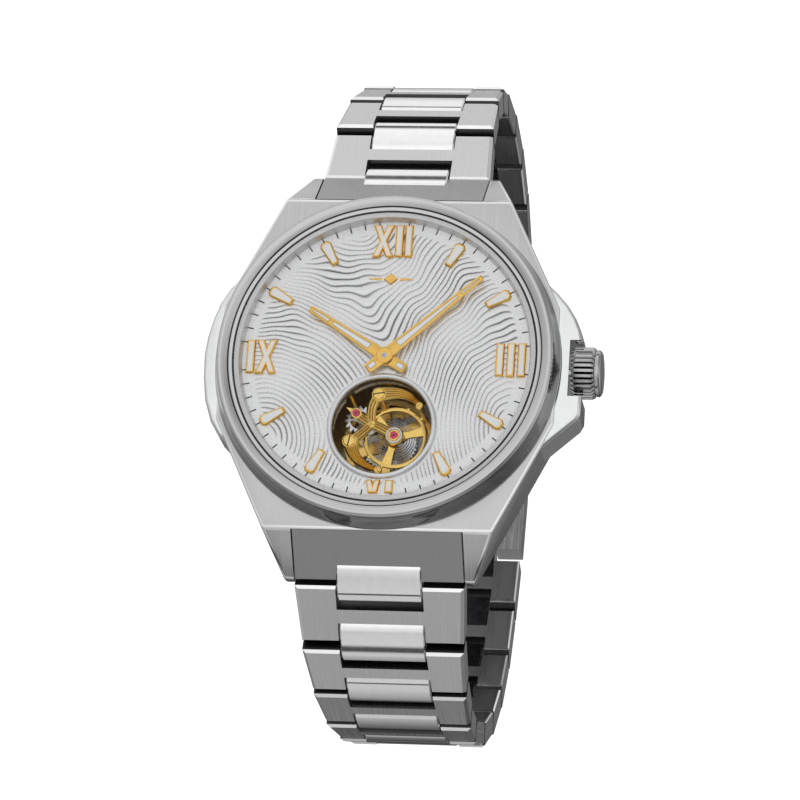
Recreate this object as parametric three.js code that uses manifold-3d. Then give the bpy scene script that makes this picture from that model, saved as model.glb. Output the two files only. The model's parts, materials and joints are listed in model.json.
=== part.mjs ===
// An automatic wristwatch with an open tourbillon, on an H-link steel bracelet closed round the wrist.
// Millimetres. +Z comes out of the dial, +Y points to 12 o'clock and +X to 3 o'clock and the crown.
// The origin is the centre of the caseback's outer face.
import * as THREE from 'three';
import { mergeVertices } from 'three/addons/utils/BufferGeometryUtils.js';
import Module from 'manifold-3d';

const wasm = await Module();
wasm.setup();

// ---------------------------------------------------------------- driving dimensions
const RAD = Math.PI / 180;
const GAP = 0.05;                 // clearance between pieces that are seated on each other
const SINK = 0.1;                 // how far a raised part is sunk into what it stands on
const FAR = 30;                   // further than any cut has to reach
const DIAL_Z = 10.2;              // dial surface
const PLATE_Z = 8.35;             // flat top of the middle case
const CASE_BOTTOM = 1.7;
const LUG_TOP = { x: 13.67, y: 20.67 };    // corner of the flat top
const LUG_TIP = { y: 25.37, z: 3.37 };     // lower end of the sloping end face
const LUG_END_X = 11.4;                    // half-width of the case at the lug tips
const FLANK = { x: 20.2, y: 7.2 };         // where the slanting side meets the straight one
const END_LINK = { half: 10.17, y: 20.74, slotY: 20.7, low: 2.0, tongueSlope: 38 };
const CAVITY_R = 18.2;

// Outlines, in X and Y, of the guards that stand out on the two flanks.
const GUARD = { low: 2.7, high: 7.75 };
const CROWN_GUARD = [[18.8, -9.0], [21.8, -8.9], [23.1, -6.6], [23.1, -3.7], [21.6, -3.5], [21.6, 3.5],
  [23.1, 3.3], [22.6, 5.0], [21.2, 7.6], [18.8, 9.9]];
const FAR_GUARD = [[-18.8, 9.9], [-20.7, 8.0], [-21.8, 4.4], [-22.25, 1.0], [-22.15, -2.0], [-21.7, -5.0],
  [-20.9, -7.6], [-19.5, -8.8], [-18.8, -9.0]];

const BEZEL = { foot: 20.7, waist: 20.45, waistZ: 9.4, rim: 20.0, lip: 18.55, seat: 18.05, top: 11.95,
  step: 11.35 };
const CRYSTAL = { r: 18.0, bevel: 0.3, bottom: 11.4, top: 12.25 };
const REHAUT = { bottom: 17.15, top: 17.35, outer: 17.95 };
const DIAL = { r: 17.9, thick: 0.4, centreHole: 1.0 };
const MARKER = { inner: 13.4, outer: 16.3, innerHalf: 0.45, outerHalf: 0.7, clip: 0.25, clipHalf: 0.4,
  height: 0.35, hours: [1, 2, 4, 5, 7, 8, 10, 11] };
// The boxes that the four upright numerals fill: x0, x1, y0, y1.
const NUMERALS = [[-2.45, 2.35, 12.6, 16.7], [-16.6, -12.95, -2.25, 2.0], [13.15, 16.7, -2.15, 2.05],
  [-1.3, 2.0, -16.8, -15.15]];
const CAGE_AXIS = { x: 0.1, y: -8.45 };
const APERTURE = { hole: 5.9, inner: 5.85, outer: 6.45, wall: 0.15, height: 0.4 };
const BACK = { glass: 12.0, ring: 12.06, ledge: 11.26, flat: 16.6, outer: 18.6, chamferZ: 0.9, top: 1.65,
  glassTop: 1.1 };
const MOVEMENT_RING = { inner: 16.4, low: 2.6, high: 9.7, stemHole: 0.8 };

const HOUR_HAND = { length: 11.0, tail: 3.0, angle: 302.1, z: 10.8, root: 1.5, tip: 0.95 };
const MINUTE_HAND = { length: 14.9, tail: 2.65, angle: 47.8, z: 11.1, root: 1.5, tip: 0.85 };
const HAND = { thick: 0.16, tailHalf: 0.55, pointLength: 0.9, pointHalf: 0.12 };

const CROWN = { z: 5.85, r: 3.1, groove: 2.85, from: 21.85, flutesTo: 24.6, to: 25.4, flutes: 30,
  capR: 2.95, capEdgeR: 2.55, capEdge: 0.45 };
const STEM = { r: 0.55, hole: 0.7, from: 13.2, neck: 0.3, neckAt: 14.2, neckLength: 0.9 };
const LEVER = { half: 1.1, low: 4.9, high: 6.9, play: 0.15, mouthPlay: 0.1 };

const LINK = { pitch: 8.15, thick: 3.0, end: 1.45, gap: 0.5, inner: 5.16, barFrom: 1.6, barTo: 3.6 };
const CENTRE = { half: 5.07, from: 3.5, beyond: 0.85, proud: 0.1, slopeLength: 1.0, slopeFrom: 0.9,
  underCut: 0.5, underFrom: -0.6 };
const PIN = { r: 0.45, hole: 0.55, inset: 1.2, endPlay: 0.1 };
const FIRST_PIN = { y: 26.2, z: 1.4 };
const TAPER = { start: 10.12, end: 8.45, links: 4 };
const EDGE = 0.3;                 // chamfer along a link's long edges

// Each link's slope below the horizontal, from the case outwards: the shape that the closed bracelet takes.
const SLOPES_12 = [25, 46, 60, 74, 88, 101, 114, 129, 144, 158];
const SLOPES_CLASP = [170, 180, 190];
const SLOPES_6 = [48, 69, 81.5, 94.5, 104, 116.5, 130.5, 143.5];

// ---------------------------------------------------------------- solids
function toSolid(geometry) {
  const bare = geometry.index ? geometry.toNonIndexed() : geometry.clone();
  bare.deleteAttribute('normal');
  bare.deleteAttribute('uv');
  const merged = mergeVertices(bare, 1e-4);
  const index = Uint32Array.from(merged.index.array);
  const solid = new wasm.Manifold(new wasm.Mesh({
    numProp: 3, vertProperties: Float32Array.from(merged.attributes.position.array), triVerts: index,
  }));
  return solid;
}

function toGeometry(solid) {
  const mesh = solid.getMesh();
  const geometry = new THREE.BufferGeometry();
  geometry.setAttribute('position', new THREE.BufferAttribute(Float32Array.from(mesh.vertProperties), 3));
  geometry.setIndex(new THREE.BufferAttribute(Uint32Array.from(mesh.triVerts), 1));
  geometry.computeVertexNormals();
  return geometry;
}

const join = (...solids) => solids.reduce((sum, next) => sum.add(next));
const cut = (solid, ...tools) => tools.reduce((rest, tool) => rest.subtract(tool), solid);

function shapeOf(points) {
  return new THREE.Shape(points.map(([x, y]) => new THREE.Vector2(x, y)));
}

// A flat outline in X and Y, raised from z0 to z1.
function plate(points, z0, z1) {
  const shape = points instanceof THREE.Shape ? points : shapeOf(points);
  const settings = { depth: z1 - z0, bevelEnabled: false, curveSegments: 12 };
  const geometry = new THREE.ExtrudeGeometry(shape, settings);
  return toSolid(geometry.translate(0, 0, z0));
}

function block(x0, x1, y0, y1, z0, z1) {
  return plate([[x0, y0], [x1, y0], [x1, y1], [x0, y1]], z0, z1);
}

// An outline in Y and Z, drawn out from x0 to x1.
function bar(points, x0, x1) {
  const shape = points instanceof THREE.Shape ? points : shapeOf(points);
  const settings = { depth: x1 - x0, bevelEnabled: false, curveSegments: 3 };
  const geometry = new THREE.ExtrudeGeometry(shape, settings);
  const turn = new THREE.Matrix4().set(0, 0, 1, 0, 1, 0, 0, 0, 0, 1, 0, 0, 0, 0, 0, 1);
  return toSolid(geometry.applyMatrix4(turn).translate(x0, 0, 0));
}

// A disc or rod along Z, centred on (x, y).
function rod(r, z0, z1, x = 0, y = 0, sides = 24) {
  const geometry = new THREE.CylinderGeometry(r, r, z1 - z0, sides).rotateX(90 * RAD);
  return toSolid(geometry.translate(x, y, (z0 + z1) / 2));
}

// A rod along X, centred on (y, z).
function crossRod(r, x0, x1, y, z, sides = 6) {
  const geometry = new THREE.CylinderGeometry(r, r, x1 - x0, sides).rotateZ(90 * RAD);
  return toSolid(geometry.translate((x0 + x1) / 2, y, z));
}

// A closed profile of radius and height, turned about Z. It runs anticlockwise.
function turned(profile, sides = 48) {
  const points = [...profile, profile[0]].map(([r, z]) => new THREE.Vector2(r, z));
  const geometry = new THREE.LatheGeometry(points, sides).rotateX(90 * RAD);
  return toSolid(geometry);
}

// A ring between two radii.
function ring(inner, outer, z0, z1, sides = 48) {
  return turned([[inner, z0], [outer, z0], [outer, z1], [inner, z1]], sides);
}

const onCircle = (r, angle) => [r * Math.cos(angle), r * Math.sin(angle)];

// A gear with pointed teeth. At phase 0 a tooth points along +X.
const TOOTH = { root: 0.75, tip: 0.6 };   // below and above the pitch circle, in modules
function gearSolid({ teeth, module, z0, z1, phase = 0 }) {
  const pitchR = teeth * module / 2;
  const step = 2 * Math.PI / teeth;
  const points = [];
  for (let i = 0; i < teeth; i += 1) {
    points.push(onCircle(pitchR - TOOTH.root * module, phase + (i - 0.5) * step));
    points.push(onCircle(pitchR + TOOTH.tip * module, phase + i * step));
  }
  return plate(points, z0, z1);
}

function moved(solid, { x, y }) {
  return solid.translate([x, y, 0]);
}

// ---------------------------------------------------------------- materials
const finish = (color, roughness, metalness) =>
  new THREE.MeshStandardMaterial({ color, roughness, metalness });
const steel = finish(0xc9cbcd, 0.3, 1.0);
const polished = finish(0xdadcde, 0.12, 1.0);
const gold = finish(0xe0ac3a, 0.25, 1.0);
const silver = finish(0xe6e7e8, 0.45, 0.6);
const dark = finish(0x3a3c40, 0.5, 0.8);
const glass = finish(0xeef3f6, 0.05, 0.0);

const watch = new THREE.Group();

function add(name, solid, material, parent = watch) {
  const mesh = new THREE.Mesh(toGeometry(solid), material);
  mesh.name = name;
  parent.add(mesh);
  return mesh;
}

// ---------------------------------------------------------------- case
// The wedge that is cut away above the sloping face at the 12 o'clock end.
function endSlope() {
  const rise = (PLATE_Z - LUG_TIP.z) / (LUG_TIP.y - LUG_TOP.y);
  const beyond = 2;
  const wedge = [[LUG_TOP.y, PLATE_Z], [LUG_TIP.y + beyond, LUG_TIP.z - rise * beyond],
    [LUG_TIP.y + beyond, PLATE_Z + beyond], [LUG_TOP.y, PLATE_Z + beyond]];
  return bar(wedge, -FAR, FAR);
}

function endLinkSlot() {
  const half = END_LINK.half + GAP;
  return block(-half, half, END_LINK.slotY, FAR, 0, PLATE_Z + 1);
}

function middleCase() {
  const outline = [[LUG_END_X, -LUG_TIP.y], [FLANK.x, -FLANK.y], [FLANK.x, FLANK.y], [LUG_END_X, LUG_TIP.y],
    [-LUG_END_X, LUG_TIP.y], [-FLANK.x, FLANK.y], [-FLANK.x, -FLANK.y], [-LUG_END_X, -LUG_TIP.y]];
  const body = plate(outline, CASE_BOTTOM, PLATE_Z);
  const guards = [CROWN_GUARD, FAR_GUARD].map((points) => plate(points, GUARD.low, GUARD.high));
  const ends = [endSlope(), endLinkSlot()];
  const otherEnds = ends.map((solid) => solid.rotate([0, 0, 180]));
  const stemHole = crossRod(STEM.hole, CAVITY_R - 3, FAR, 0, CROWN.z, 16);
  const cavity = rod(CAVITY_R, CASE_BOTTOM - 1, PLATE_Z + 1, 0, 0, 72);
  return cut(join(body, ...guards), ...ends, ...otherEnds, cavity, stemHole);
}

function bezel() {
  return turned([[BEZEL.seat, PLATE_Z + GAP], [BEZEL.foot, PLATE_Z + GAP], [BEZEL.waist, BEZEL.waistZ],
    [BEZEL.rim, BEZEL.top], [BEZEL.lip, BEZEL.step], [BEZEL.seat, BEZEL.step]]);
}

function crystal() {
  return turned([[0, CRYSTAL.bottom], [CRYSTAL.r, CRYSTAL.bottom], [CRYSTAL.r, CRYSTAL.top - CRYSTAL.bevel],
    [CRYSTAL.r - CRYSTAL.bevel, CRYSTAL.top], [0, CRYSTAL.top]]);
}

function rehautRing() {
  const foot = DIAL_Z + GAP;
  return turned([[REHAUT.bottom, foot], [REHAUT.outer, foot], [REHAUT.outer, BEZEL.step],
    [REHAUT.top, BEZEL.step]]);
}

// A tapered bar along the dial's radius, with its outer corners clipped.
function markerSolid(hour) {
  const { inner, outer, innerHalf, outerHalf, clip, clipHalf } = MARKER;
  const outline = [[inner, -innerHalf], [outer, -outerHalf], [outer + clip, -clipHalf],
    [outer + clip, clipHalf], [outer, outerHalf], [inner, innerHalf]];
  const solid = plate(outline, DIAL_Z - SINK, DIAL_Z + MARKER.height);
  return solid.rotate([0, 0, 90 - hour * 30]);
}

// The numerals are whole blocks here: the strokes are finer than the solid shows.
function dial() {
  const bottom = DIAL_Z - DIAL.thick;
  const disc = rod(DIAL.r, bottom, DIAL_Z, 0, 0, 48);
  const numerals = NUMERALS.map((box) => block(...box, DIAL_Z - SINK, DIAL_Z + MARKER.height));
  const raised = join(disc, ...MARKER.hours.map(markerSolid), ...numerals);
  const hole = rod(APERTURE.hole, bottom - 1, DIAL_Z + 1, CAGE_AXIS.x, CAGE_AXIS.y, 36);
  const centre = rod(DIAL.centreHole, bottom - 1, DIAL_Z + 1);
  return cut(raised, hole, centre);
}

function apertureRing() {
  const foot = DIAL_Z + GAP;
  const shoulder = foot + APERTURE.wall;
  const middle = (APERTURE.inner + APERTURE.outer) / 2;
  const solid = turned([[APERTURE.inner, foot], [APERTURE.outer, foot], [APERTURE.outer, shoulder],
    [middle, DIAL_Z + APERTURE.height], [APERTURE.inner, shoulder]], 36);
  return moved(solid, CAGE_AXIS);
}

function casebackRing() {
  return turned([[BACK.ring, 0], [BACK.flat, 0], [BACK.outer, BACK.chamferZ], [BACK.outer, BACK.top],
    [BACK.ledge, BACK.top], [BACK.ledge, BACK.glassTop + GAP], [BACK.ring, BACK.glassTop + GAP]]);
}

function casebackGlass() {
  return rod(BACK.glass, 0, BACK.glassTop, 0, 0, 48);
}

function movementRing() {
  const { inner, low, high, stemHole } = MOVEMENT_RING;
  return cut(ring(inner, REHAUT.outer, low, high), crossRod(stemHole, inner - 2, FAR, 0, CROWN.z, 16));
}

// ---------------------------------------------------------------- crown and setting work
function crown() {
  const outline = [];
  for (let i = 0; i < CROWN.flutes * 2; i += 1) {
    outline.push(onCircle(i % 2 ? CROWN.r : CROWN.groove, i * Math.PI / CROWN.flutes));
  }
  const body = bar(outline, CROWN.from, CROWN.flutesTo);
  const capLength = CROWN.to - CROWN.flutesTo + SINK;
  const cap = turned([[0, 0], [CROWN.capR, 0], [CROWN.capR, CROWN.capEdge + SINK],
    [CROWN.capEdgeR, capLength], [0, capLength]], 30);
  const placedCap = cap.rotate([0, 90, 0]).translate([CROWN.flutesTo - SINK, 0, 0]);
  return join(body, placedCap).translate([0, 0, CROWN.z]);
}

function windingStem() {
  const stem = crossRod(STEM.r, STEM.from, CROWN.from - GAP, 0, CROWN.z, 16);
  const groove = cut(crossRod(STEM.r + 1, STEM.neckAt, STEM.neckAt + STEM.neckLength, 0, CROWN.z, 16),
    crossRod(STEM.neck, STEM.neckAt - 1, STEM.neckAt + STEM.neckLength + 1, 0, CROWN.z, 16));
  return cut(stem, groove);
}

// The lever's fork drops into the stem's groove, so that it moves in and out with the stem.
function settingLever() {
  const x0 = STEM.neckAt + LEVER.play;
  const x1 = STEM.neckAt + STEM.neckLength - LEVER.play;
  const mouthHalf = STEM.neck + LEVER.mouthPlay;
  const fork = block(x0, x1, -LEVER.half, LEVER.half, LEVER.low, LEVER.high);
  const mouth = block(x0 - 1, x1 + 1, -mouthHalf, mouthHalf, LEVER.low - 1, CROWN.z + mouthHalf);
  return cut(fork, mouth);
}

// ---------------------------------------------------------------- hands
// The outline tapers from root to tip, with a pointed end and a shorter tail.
function handSolid({ length, tail, angle, z, root, tip }, hubR, holeR) {
  const { tailHalf, pointHalf } = HAND;
  const shoulder = length - HAND.pointLength;
  const outline = [[-tail, -tailHalf], [0, -root / 2], [shoulder, -tip / 2], [length, -pointHalf],
    [length, pointHalf], [shoulder, tip / 2], [0, root / 2], [-tail, tailHalf]];
  const blade = plate(outline, z, z + HAND.thick);
  const hub = rod(hubR, z, z + HAND.thick, 0, 0, 24);
  return cut(join(blade, hub), rod(holeR, z - 1, z + 1, 0, 0, 20)).rotate([0, 0, 90 - angle]);
}

// ---------------------------------------------------------------- going train
// Each wheel turns about Z. Neighbours mesh: a tooth of one points into a gap of the other.
const AXES = {
  centre: { x: 0, y: 0 },
  barrel: { x: 2.0, y: 7.33 },
  third: { x: -4.15, y: -4.2 },
  cage: CAGE_AXIS,
};
const TEETH = { barrel: 42, centrePinion: 6, centreWheel: 48, thirdPinion: 6, thirdWheel: 45, cagePinion: 6,
  fixed: 42, escapePinion: 6, escape: 15 };
const ESCAPE_OFFSET = { x: -3.25, y: 1.83 };
const BALANCE_OFFSET = { x: 1.43, y: -0.87 };

const distance = (a, b) => Math.hypot(b.x - a.x, b.y - a.y);
const bearing = (a, b) => Math.atan2(b.y - a.y, b.x - a.x);
const moduleFor = (a, b, teethA, teethB) => 2 * distance(a, b) / (teethA + teethB);

const BARREL_MODULE = moduleFor(AXES.barrel, AXES.centre, TEETH.barrel, TEETH.centrePinion);
const CENTRE_MODULE = moduleFor(AXES.centre, AXES.third, TEETH.centreWheel, TEETH.thirdPinion);
const THIRD_MODULE = moduleFor(AXES.third, AXES.cage, TEETH.thirdWheel, TEETH.cagePinion);
const FIXED_MODULE = 2 * Math.hypot(ESCAPE_OFFSET.x, ESCAPE_OFFSET.y) / (TEETH.fixed + TEETH.escapePinion);

const LEVEL = {
  bridge: [1.9, 2.6], centreWheel: [2.75, 2.95], thirdPinion: [2.72, 3.0], thirdWheel: [3.08, 3.28],
  cagePinion: [3.05, 3.33], fixedArm: [3.05, 3.36], fixed: [3.42, 3.6], escapePinion: [3.4, 3.65],
  cageFloor: [3.8, 4.05], centrePinion: [3.45, 4.2], barrelTeeth: [3.5, 4.0], drumTop: 6.6,
  escape: [6.5, 6.8], spring: [7.55, 7.8], balance: [8.1, 8.55], cageTop: [8.95, 9.3], plate: [7.4, 8.9],
};
const PLATE = { r: 16.3, rimInner: 15.3, window: 6.2, bigHole: 0.75, pivotHole: 0.4, stemHole: 1.7 };
const ARBOR_R = 0.25;
const ARBOR_LOW = LEVEL.bridge[0] + 0.1;     // every arbor's lower pivot stands in the train bridge

const holesAt = (axes, r, z0, z1) => axes.map(({ x, y }) => rod(r, z0 - 1, z1 + 1, x, y, 12));

function mainplate() {
  const [z0, z1] = LEVEL.plate;
  const disc = rod(PLATE.r, z0, z1, 0, 0, 36);
  const window = rod(PLATE.window, z0 - 1, z1 + 1, CAGE_AXIS.x, CAGE_AXIS.y, 32);
  const holes = holesAt([AXES.centre, AXES.barrel, AXES.third], PLATE.bigHole, z0, z1);
  return cut(disc, window, ...holes);
}

function trainBridge() {
  const [z0, z1] = LEVEL.bridge;
  const disc = rod(PLATE.r, z0, z1, 0, 0, 36);
  const holes = holesAt(Object.values(AXES), PLATE.pivotHole, z0, z1);
  const rim = ring(PLATE.rimInner, PLATE.r, z0, LEVEL.plate[0] - GAP, 36);
  const stemGap = crossRod(PLATE.stemHole, PLATE.rimInner - 3, FAR, 0, CROWN.z, 16);
  return cut(join(disc, rim), ...holes, stemGap);
}

const DRUM_R = 6.1;
const BARREL_ARBOR_R = 0.35;
function barrelWheel() {
  const towards = bearing(AXES.barrel, AXES.centre);
  const [z0, z1] = LEVEL.barrelTeeth;
  const wheel = gearSolid({ teeth: TEETH.barrel, module: BARREL_MODULE, z0, z1, phase: towards });
  const drum = rod(DRUM_R, z1 - SINK, LEVEL.drumTop, 0, 0, 32);
  const arbor = rod(BARREL_ARBOR_R, ARBOR_LOW, LEVEL.plate[1], 0, 0, 12);
  return moved(join(wheel, drum, arbor), AXES.barrel);
}

// A pinion whose gap, not its tooth, points towards the neighbour.
function pinionSolid(teeth, module, [z0, z1], towards) {
  return gearSolid({ teeth, module, z0, z1, phase: towards + Math.PI / teeth });
}

function centreWheel() {
  const [z0, z1] = LEVEL.centreWheel;
  const pinion = pinionSolid(TEETH.centrePinion, BARREL_MODULE, LEVEL.centrePinion,
    bearing(AXES.centre, AXES.barrel));
  const wheel = gearSolid({ teeth: TEETH.centreWheel, module: CENTRE_MODULE, z0, z1,
    phase: bearing(AXES.centre, AXES.third) });
  return join(pinion, wheel, rod(ARBOR_R, ARBOR_LOW, LEVEL.plate[1], 0, 0, 12));
}

function thirdWheel() {
  const [z0, z1] = LEVEL.thirdWheel;
  const pinion = pinionSolid(TEETH.thirdPinion, CENTRE_MODULE, LEVEL.thirdPinion,
    bearing(AXES.third, AXES.centre));
  const wheel = gearSolid({ teeth: TEETH.thirdWheel, module: THIRD_MODULE, z0, z1,
    phase: bearing(AXES.third, AXES.cage) });
  const arbor = rod(ARBOR_R, ARBOR_LOW, LEVEL.plate[1] - GAP, 0, 0, 12);
  return moved(join(pinion, wheel, arbor), AXES.third);
}

// ---------------------------------------------------------------- tourbillon, about its own axis
const polar = (r, degrees) => ({ x: r * Math.cos(degrees * RAD), y: r * Math.sin(degrees * RAD) });
const PILLARS = [polar(5.1, 35), polar(4.3, 99.4), polar(4.2, 202.8), polar(5.15, 267)];
const PILLAR = { r: 0.28, pad: 0.55 };
const FIXED = { boss: 2.4, hole: 0.9, armFrom: 1.1, armTo: 6.6, armHalf: 0.5, armAngle: -45 };
const CAGE = { inner: 4.75, outer: 5.45, spokeHalf: 0.45, hub: 0.8 };

// The wheel that stands still below the cage, on an arm that reaches the train bridge.
function fixedWheel() {
  const [z0, z1] = LEVEL.fixed;
  const phase = Math.atan2(ESCAPE_OFFSET.y, ESCAPE_OFFSET.x);
  const wheel = gearSolid({ teeth: TEETH.fixed, module: FIXED_MODULE, z0, z1, phase });
  const boss = rod(FIXED.boss, LEVEL.thirdWheel[1] + GAP, z0 + SINK, 0, 0, 24);
  const arm = block(FIXED.armFrom, FIXED.armTo, -FIXED.armHalf, FIXED.armHalf, ...LEVEL.fixedArm);
  const foot = rod(FIXED.armHalf, LEVEL.bridge[1] + GAP, LEVEL.fixedArm[1], FIXED.armTo, 0, 12);
  const whole = join(wheel, boss, join(arm, foot).rotate([0, 0, FIXED.armAngle]));
  return moved(cut(whole, rod(FIXED.hole, z0 - 2, z1 + 1, 0, 0, 20)), CAGE_AXIS);
}

function cageBase() {
  const [z0, z1] = LEVEL.cageFloor;
  const floor = ring(CAGE.inner, CAGE.outer, z0, z1, 30);
  const spoke = block(0, (CAGE.inner + CAGE.outer) / 2, -CAGE.spokeHalf, CAGE.spokeHalf, z0, z1);
  const spokes = PILLARS.map(({ x, y }) => spoke.rotate([0, 0, Math.atan2(y, x) / RAD]));
  const pillars = PILLARS.map(({ x, y }) => rod(PILLAR.r, z1 - SINK, LEVEL.cageTop[0] - GAP, x, y, 10));
  const pinion = pinionSolid(TEETH.cagePinion, THIRD_MODULE, LEVEL.cagePinion,
    bearing(AXES.cage, AXES.third));
  const pivot = rod(ARBOR_R, ARBOR_LOW, z1, 0, 0, 12);
  const hub = rod(CAGE.hub, z0, z1, 0, 0, 12);
  return moved(join(floor, hub, ...spokes, ...pillars, pinion, pivot), CAGE_AXIS);
}

// An arm of even width, bowed sideways between two points.
function bowedArm(from, to, bow, half, z0, z1) {
  const start = new THREE.Vector2(from.x, from.y);
  const end = new THREE.Vector2(to.x, to.y);
  const along = end.clone().sub(start);
  const side = new THREE.Vector2(-along.y, along.x).normalize();
  const middle = start.clone().addScaledVector(along, 0.5).addScaledVector(side, bow * 2);
  const curve = new THREE.QuadraticBezierCurve(start, middle, end);
  const left = [];
  const right = [];
  const steps = 5;
  for (let i = 0; i <= steps; i += 1) {
    const point = curve.getPoint(i / steps);
    const tangent = curve.getTangent(i / steps);
    left.unshift([point.x - tangent.y * half, point.y + tangent.x * half]);
    right.push([point.x + tangent.y * half, point.y - tangent.x * half]);
  }
  return plate([...right, ...left], z0, z1);
}

// Curved arms join the pillars to the upper bearings of the balance and the escape wheel.
const BRIDGE = { armHalf: 0.4, bow: 0.5, balanceBoss: 1.0, escapeBoss: 0.7, jewelHole: 0.4 };
function cageBridge() {
  const [z0, z1] = LEVEL.cageTop;
  const { armHalf, bow } = BRIDGE;
  const arms = [[BALANCE_OFFSET, PILLARS[0], bow], [BALANCE_OFFSET, PILLARS[3], bow],
    [ESCAPE_OFFSET, PILLARS[1], -bow], [ESCAPE_OFFSET, PILLARS[2], bow],
    [BALANCE_OFFSET, ESCAPE_OFFSET, bow]];
  const strips = arms.map(([from, to, side]) => bowedArm(from, to, side, armHalf, z0, z1));
  const pads = PILLARS.map(({ x, y }) => rod(PILLAR.pad, z0, z1, x, y, 12));
  const bosses = [moved(rod(BRIDGE.balanceBoss, z0, z1), BALANCE_OFFSET),
    moved(rod(BRIDGE.escapeBoss, z0, z1, 0, 0, 16), ESCAPE_OFFSET)];
  const jewelHole = moved(rod(BRIDGE.jewelHole, z0 - 1, z1 + 1, 0, 0, 16), BALANCE_OFFSET);
  return moved(cut(join(...strips, ...pads, ...bosses), jewelHole), CAGE_AXIS);
}

const plus = (a, b) => ({ x: a.x + b.x, y: a.y + b.y });
const BALANCE_AXIS = plus(CAGE_AXIS, BALANCE_OFFSET);
const ESCAPE_AXIS = plus(CAGE_AXIS, ESCAPE_OFFSET);

const BALANCE = { inner: 3.35, outer: 3.75, armHalf: 0.25, inset: 0.1, staff: 0.2, collet: 0.45 };
function balanceWheel() {
  const [z0, z1] = LEVEL.balance;
  const rim = ring(BALANCE.inner, BALANCE.outer, z0, z1, 30);
  const arm = block(0, (BALANCE.inner + BALANCE.outer) / 2, -BALANCE.armHalf, BALANCE.armHalf,
    z0 + BALANCE.inset, z1 - BALANCE.inset);
  const arms = [0, 120, 240].map((angle) => arm.rotate([0, 0, angle]));
  const staff = rod(BALANCE.staff, LEVEL.cageFloor[1] + GAP, LEVEL.cageTop[0] - GAP, 0, 0, 12);
  const collet = rod(BALANCE.collet, z0 - BALANCE.inset, z1, 0, 0, 16);
  return moved(join(rim, ...arms, staff, collet), BALANCE_AXIS);
}

// A flat spiral between the staff and the cage.
const SPRING = { turns: 4, perTurn: 14, innerR: 0.5, outerR: 2.4, half: 0.06 };
function hairspring() {
  const steps = SPRING.turns * SPRING.perTurn;
  const outer = [];
  const inner = [];
  for (let i = 0; i <= steps; i += 1) {
    const angle = i * 2 * Math.PI / SPRING.perTurn;
    const r = SPRING.innerR + (SPRING.outerR - SPRING.innerR) * i / steps;
    outer.push(onCircle(r + SPRING.half, angle));
    inner.unshift(onCircle(r - SPRING.half, angle));
  }
  return moved(plate([...outer, ...inner], ...LEVEL.spring), BALANCE_AXIS);
}

// Each tooth leans forwards: its tip stands ahead of its root, and its front drops steeply.
const ESCAPE = { root: 1.35, tip: 1.75, front: 1.3, tipAt: 0.35, frontAt: 0.45, arbor: 0.16 };
function escapeWheel() {
  const points = [];
  const step = 2 * Math.PI / TEETH.escape;
  for (let i = 0; i < TEETH.escape; i += 1) {
    points.push(onCircle(ESCAPE.root, i * step));
    points.push(onCircle(ESCAPE.tip, (i + ESCAPE.tipAt) * step));
    points.push(onCircle(ESCAPE.front, (i + ESCAPE.frontAt) * step));
  }
  const pinion = pinionSolid(TEETH.escapePinion, FIXED_MODULE, LEVEL.escapePinion,
    bearing(ESCAPE_AXIS, CAGE_AXIS));
  const arbor = rod(ESCAPE.arbor, LEVEL.escapePinion[0], LEVEL.cageTop[0] - GAP, 0, 0, 10);
  return moved(join(plate(points, ...LEVEL.escape), pinion, arbor), ESCAPE_AXIS);
}

// The lever sits between the escape wheel and the balance staff. It is drawn along X, about its own staff.
const FORK_AT = 0.52;                // how far from the escape wheel towards the balance the lever turns
const FORK = {
  lever: [[0, -0.18], [1.7, -0.14], [1.95, -0.4], [2.05, -0.3], [1.85, 0], [2.05, 0.3], [1.95, 0.4],
    [1.7, 0.14], [0, 0.18]],
  arms: [[-0.9, -1.45], [-0.6, -1.45], [0.2, 0], [-0.6, 1.45], [-0.9, 1.45], [-0.2, 0]],
  staff: 0.15,
  staffAbove: 0.5,
};
function palletFork() {
  const [z0, z1] = LEVEL.escape;
  const axis = { x: ESCAPE_AXIS.x + (BALANCE_AXIS.x - ESCAPE_AXIS.x) * FORK_AT,
    y: ESCAPE_AXIS.y + (BALANCE_AXIS.y - ESCAPE_AXIS.y) * FORK_AT };
  const staff = rod(FORK.staff, LEVEL.cageFloor[1] + GAP, z1 + FORK.staffAbove, 0, 0, 10);
  const solid = join(plate(FORK.lever, z0, z1), plate(FORK.arms, z0, z1), staff);
  return moved(solid.rotate([0, 0, bearing(ESCAPE_AXIS, BALANCE_AXIS) / RAD]), axis);
}

// ---------------------------------------------------------------- motion work
const CANNON = { r: 0.42, above: 0.05 };
const HOUR_WHEEL = { teeth: 30, module: 0.144, low: 9.05, high: 9.3, pipe: 0.85, hole: 0.5 };

function cannonPinion() {
  return rod(CANNON.r, LEVEL.plate[1] + GAP, MINUTE_HAND.z + HAND.thick + CANNON.above, 0, 0, 16);
}

function hourWheel() {
  const { teeth, module, low, high } = HOUR_WHEEL;
  const gear = gearSolid({ teeth, module, z0: low, z1: high });
  const pipe = rod(HOUR_WHEEL.pipe, low + SINK, HOUR_HAND.z - GAP, 0, 0, 20);
  return cut(join(gear, pipe), rod(HOUR_WHEEL.hole, low - 1, HOUR_HAND.z + 1, 0, 0, 20));
}

// ---------------------------------------------------------------- bracelet
// A link is drawn flat: X across, Y along the bracelet from its upper pin, Z out of the wrist.
function nextPin([y, z], slope) {
  return [y + LINK.pitch * Math.cos(slope * RAD), z - LINK.pitch * Math.sin(slope * RAD)];
}

function pinsAlong(start, slopes) {
  const pins = [start];
  slopes.forEach((slope) => pins.push(nextPin(pins.at(-1), slope)));
  return pins;
}

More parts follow.
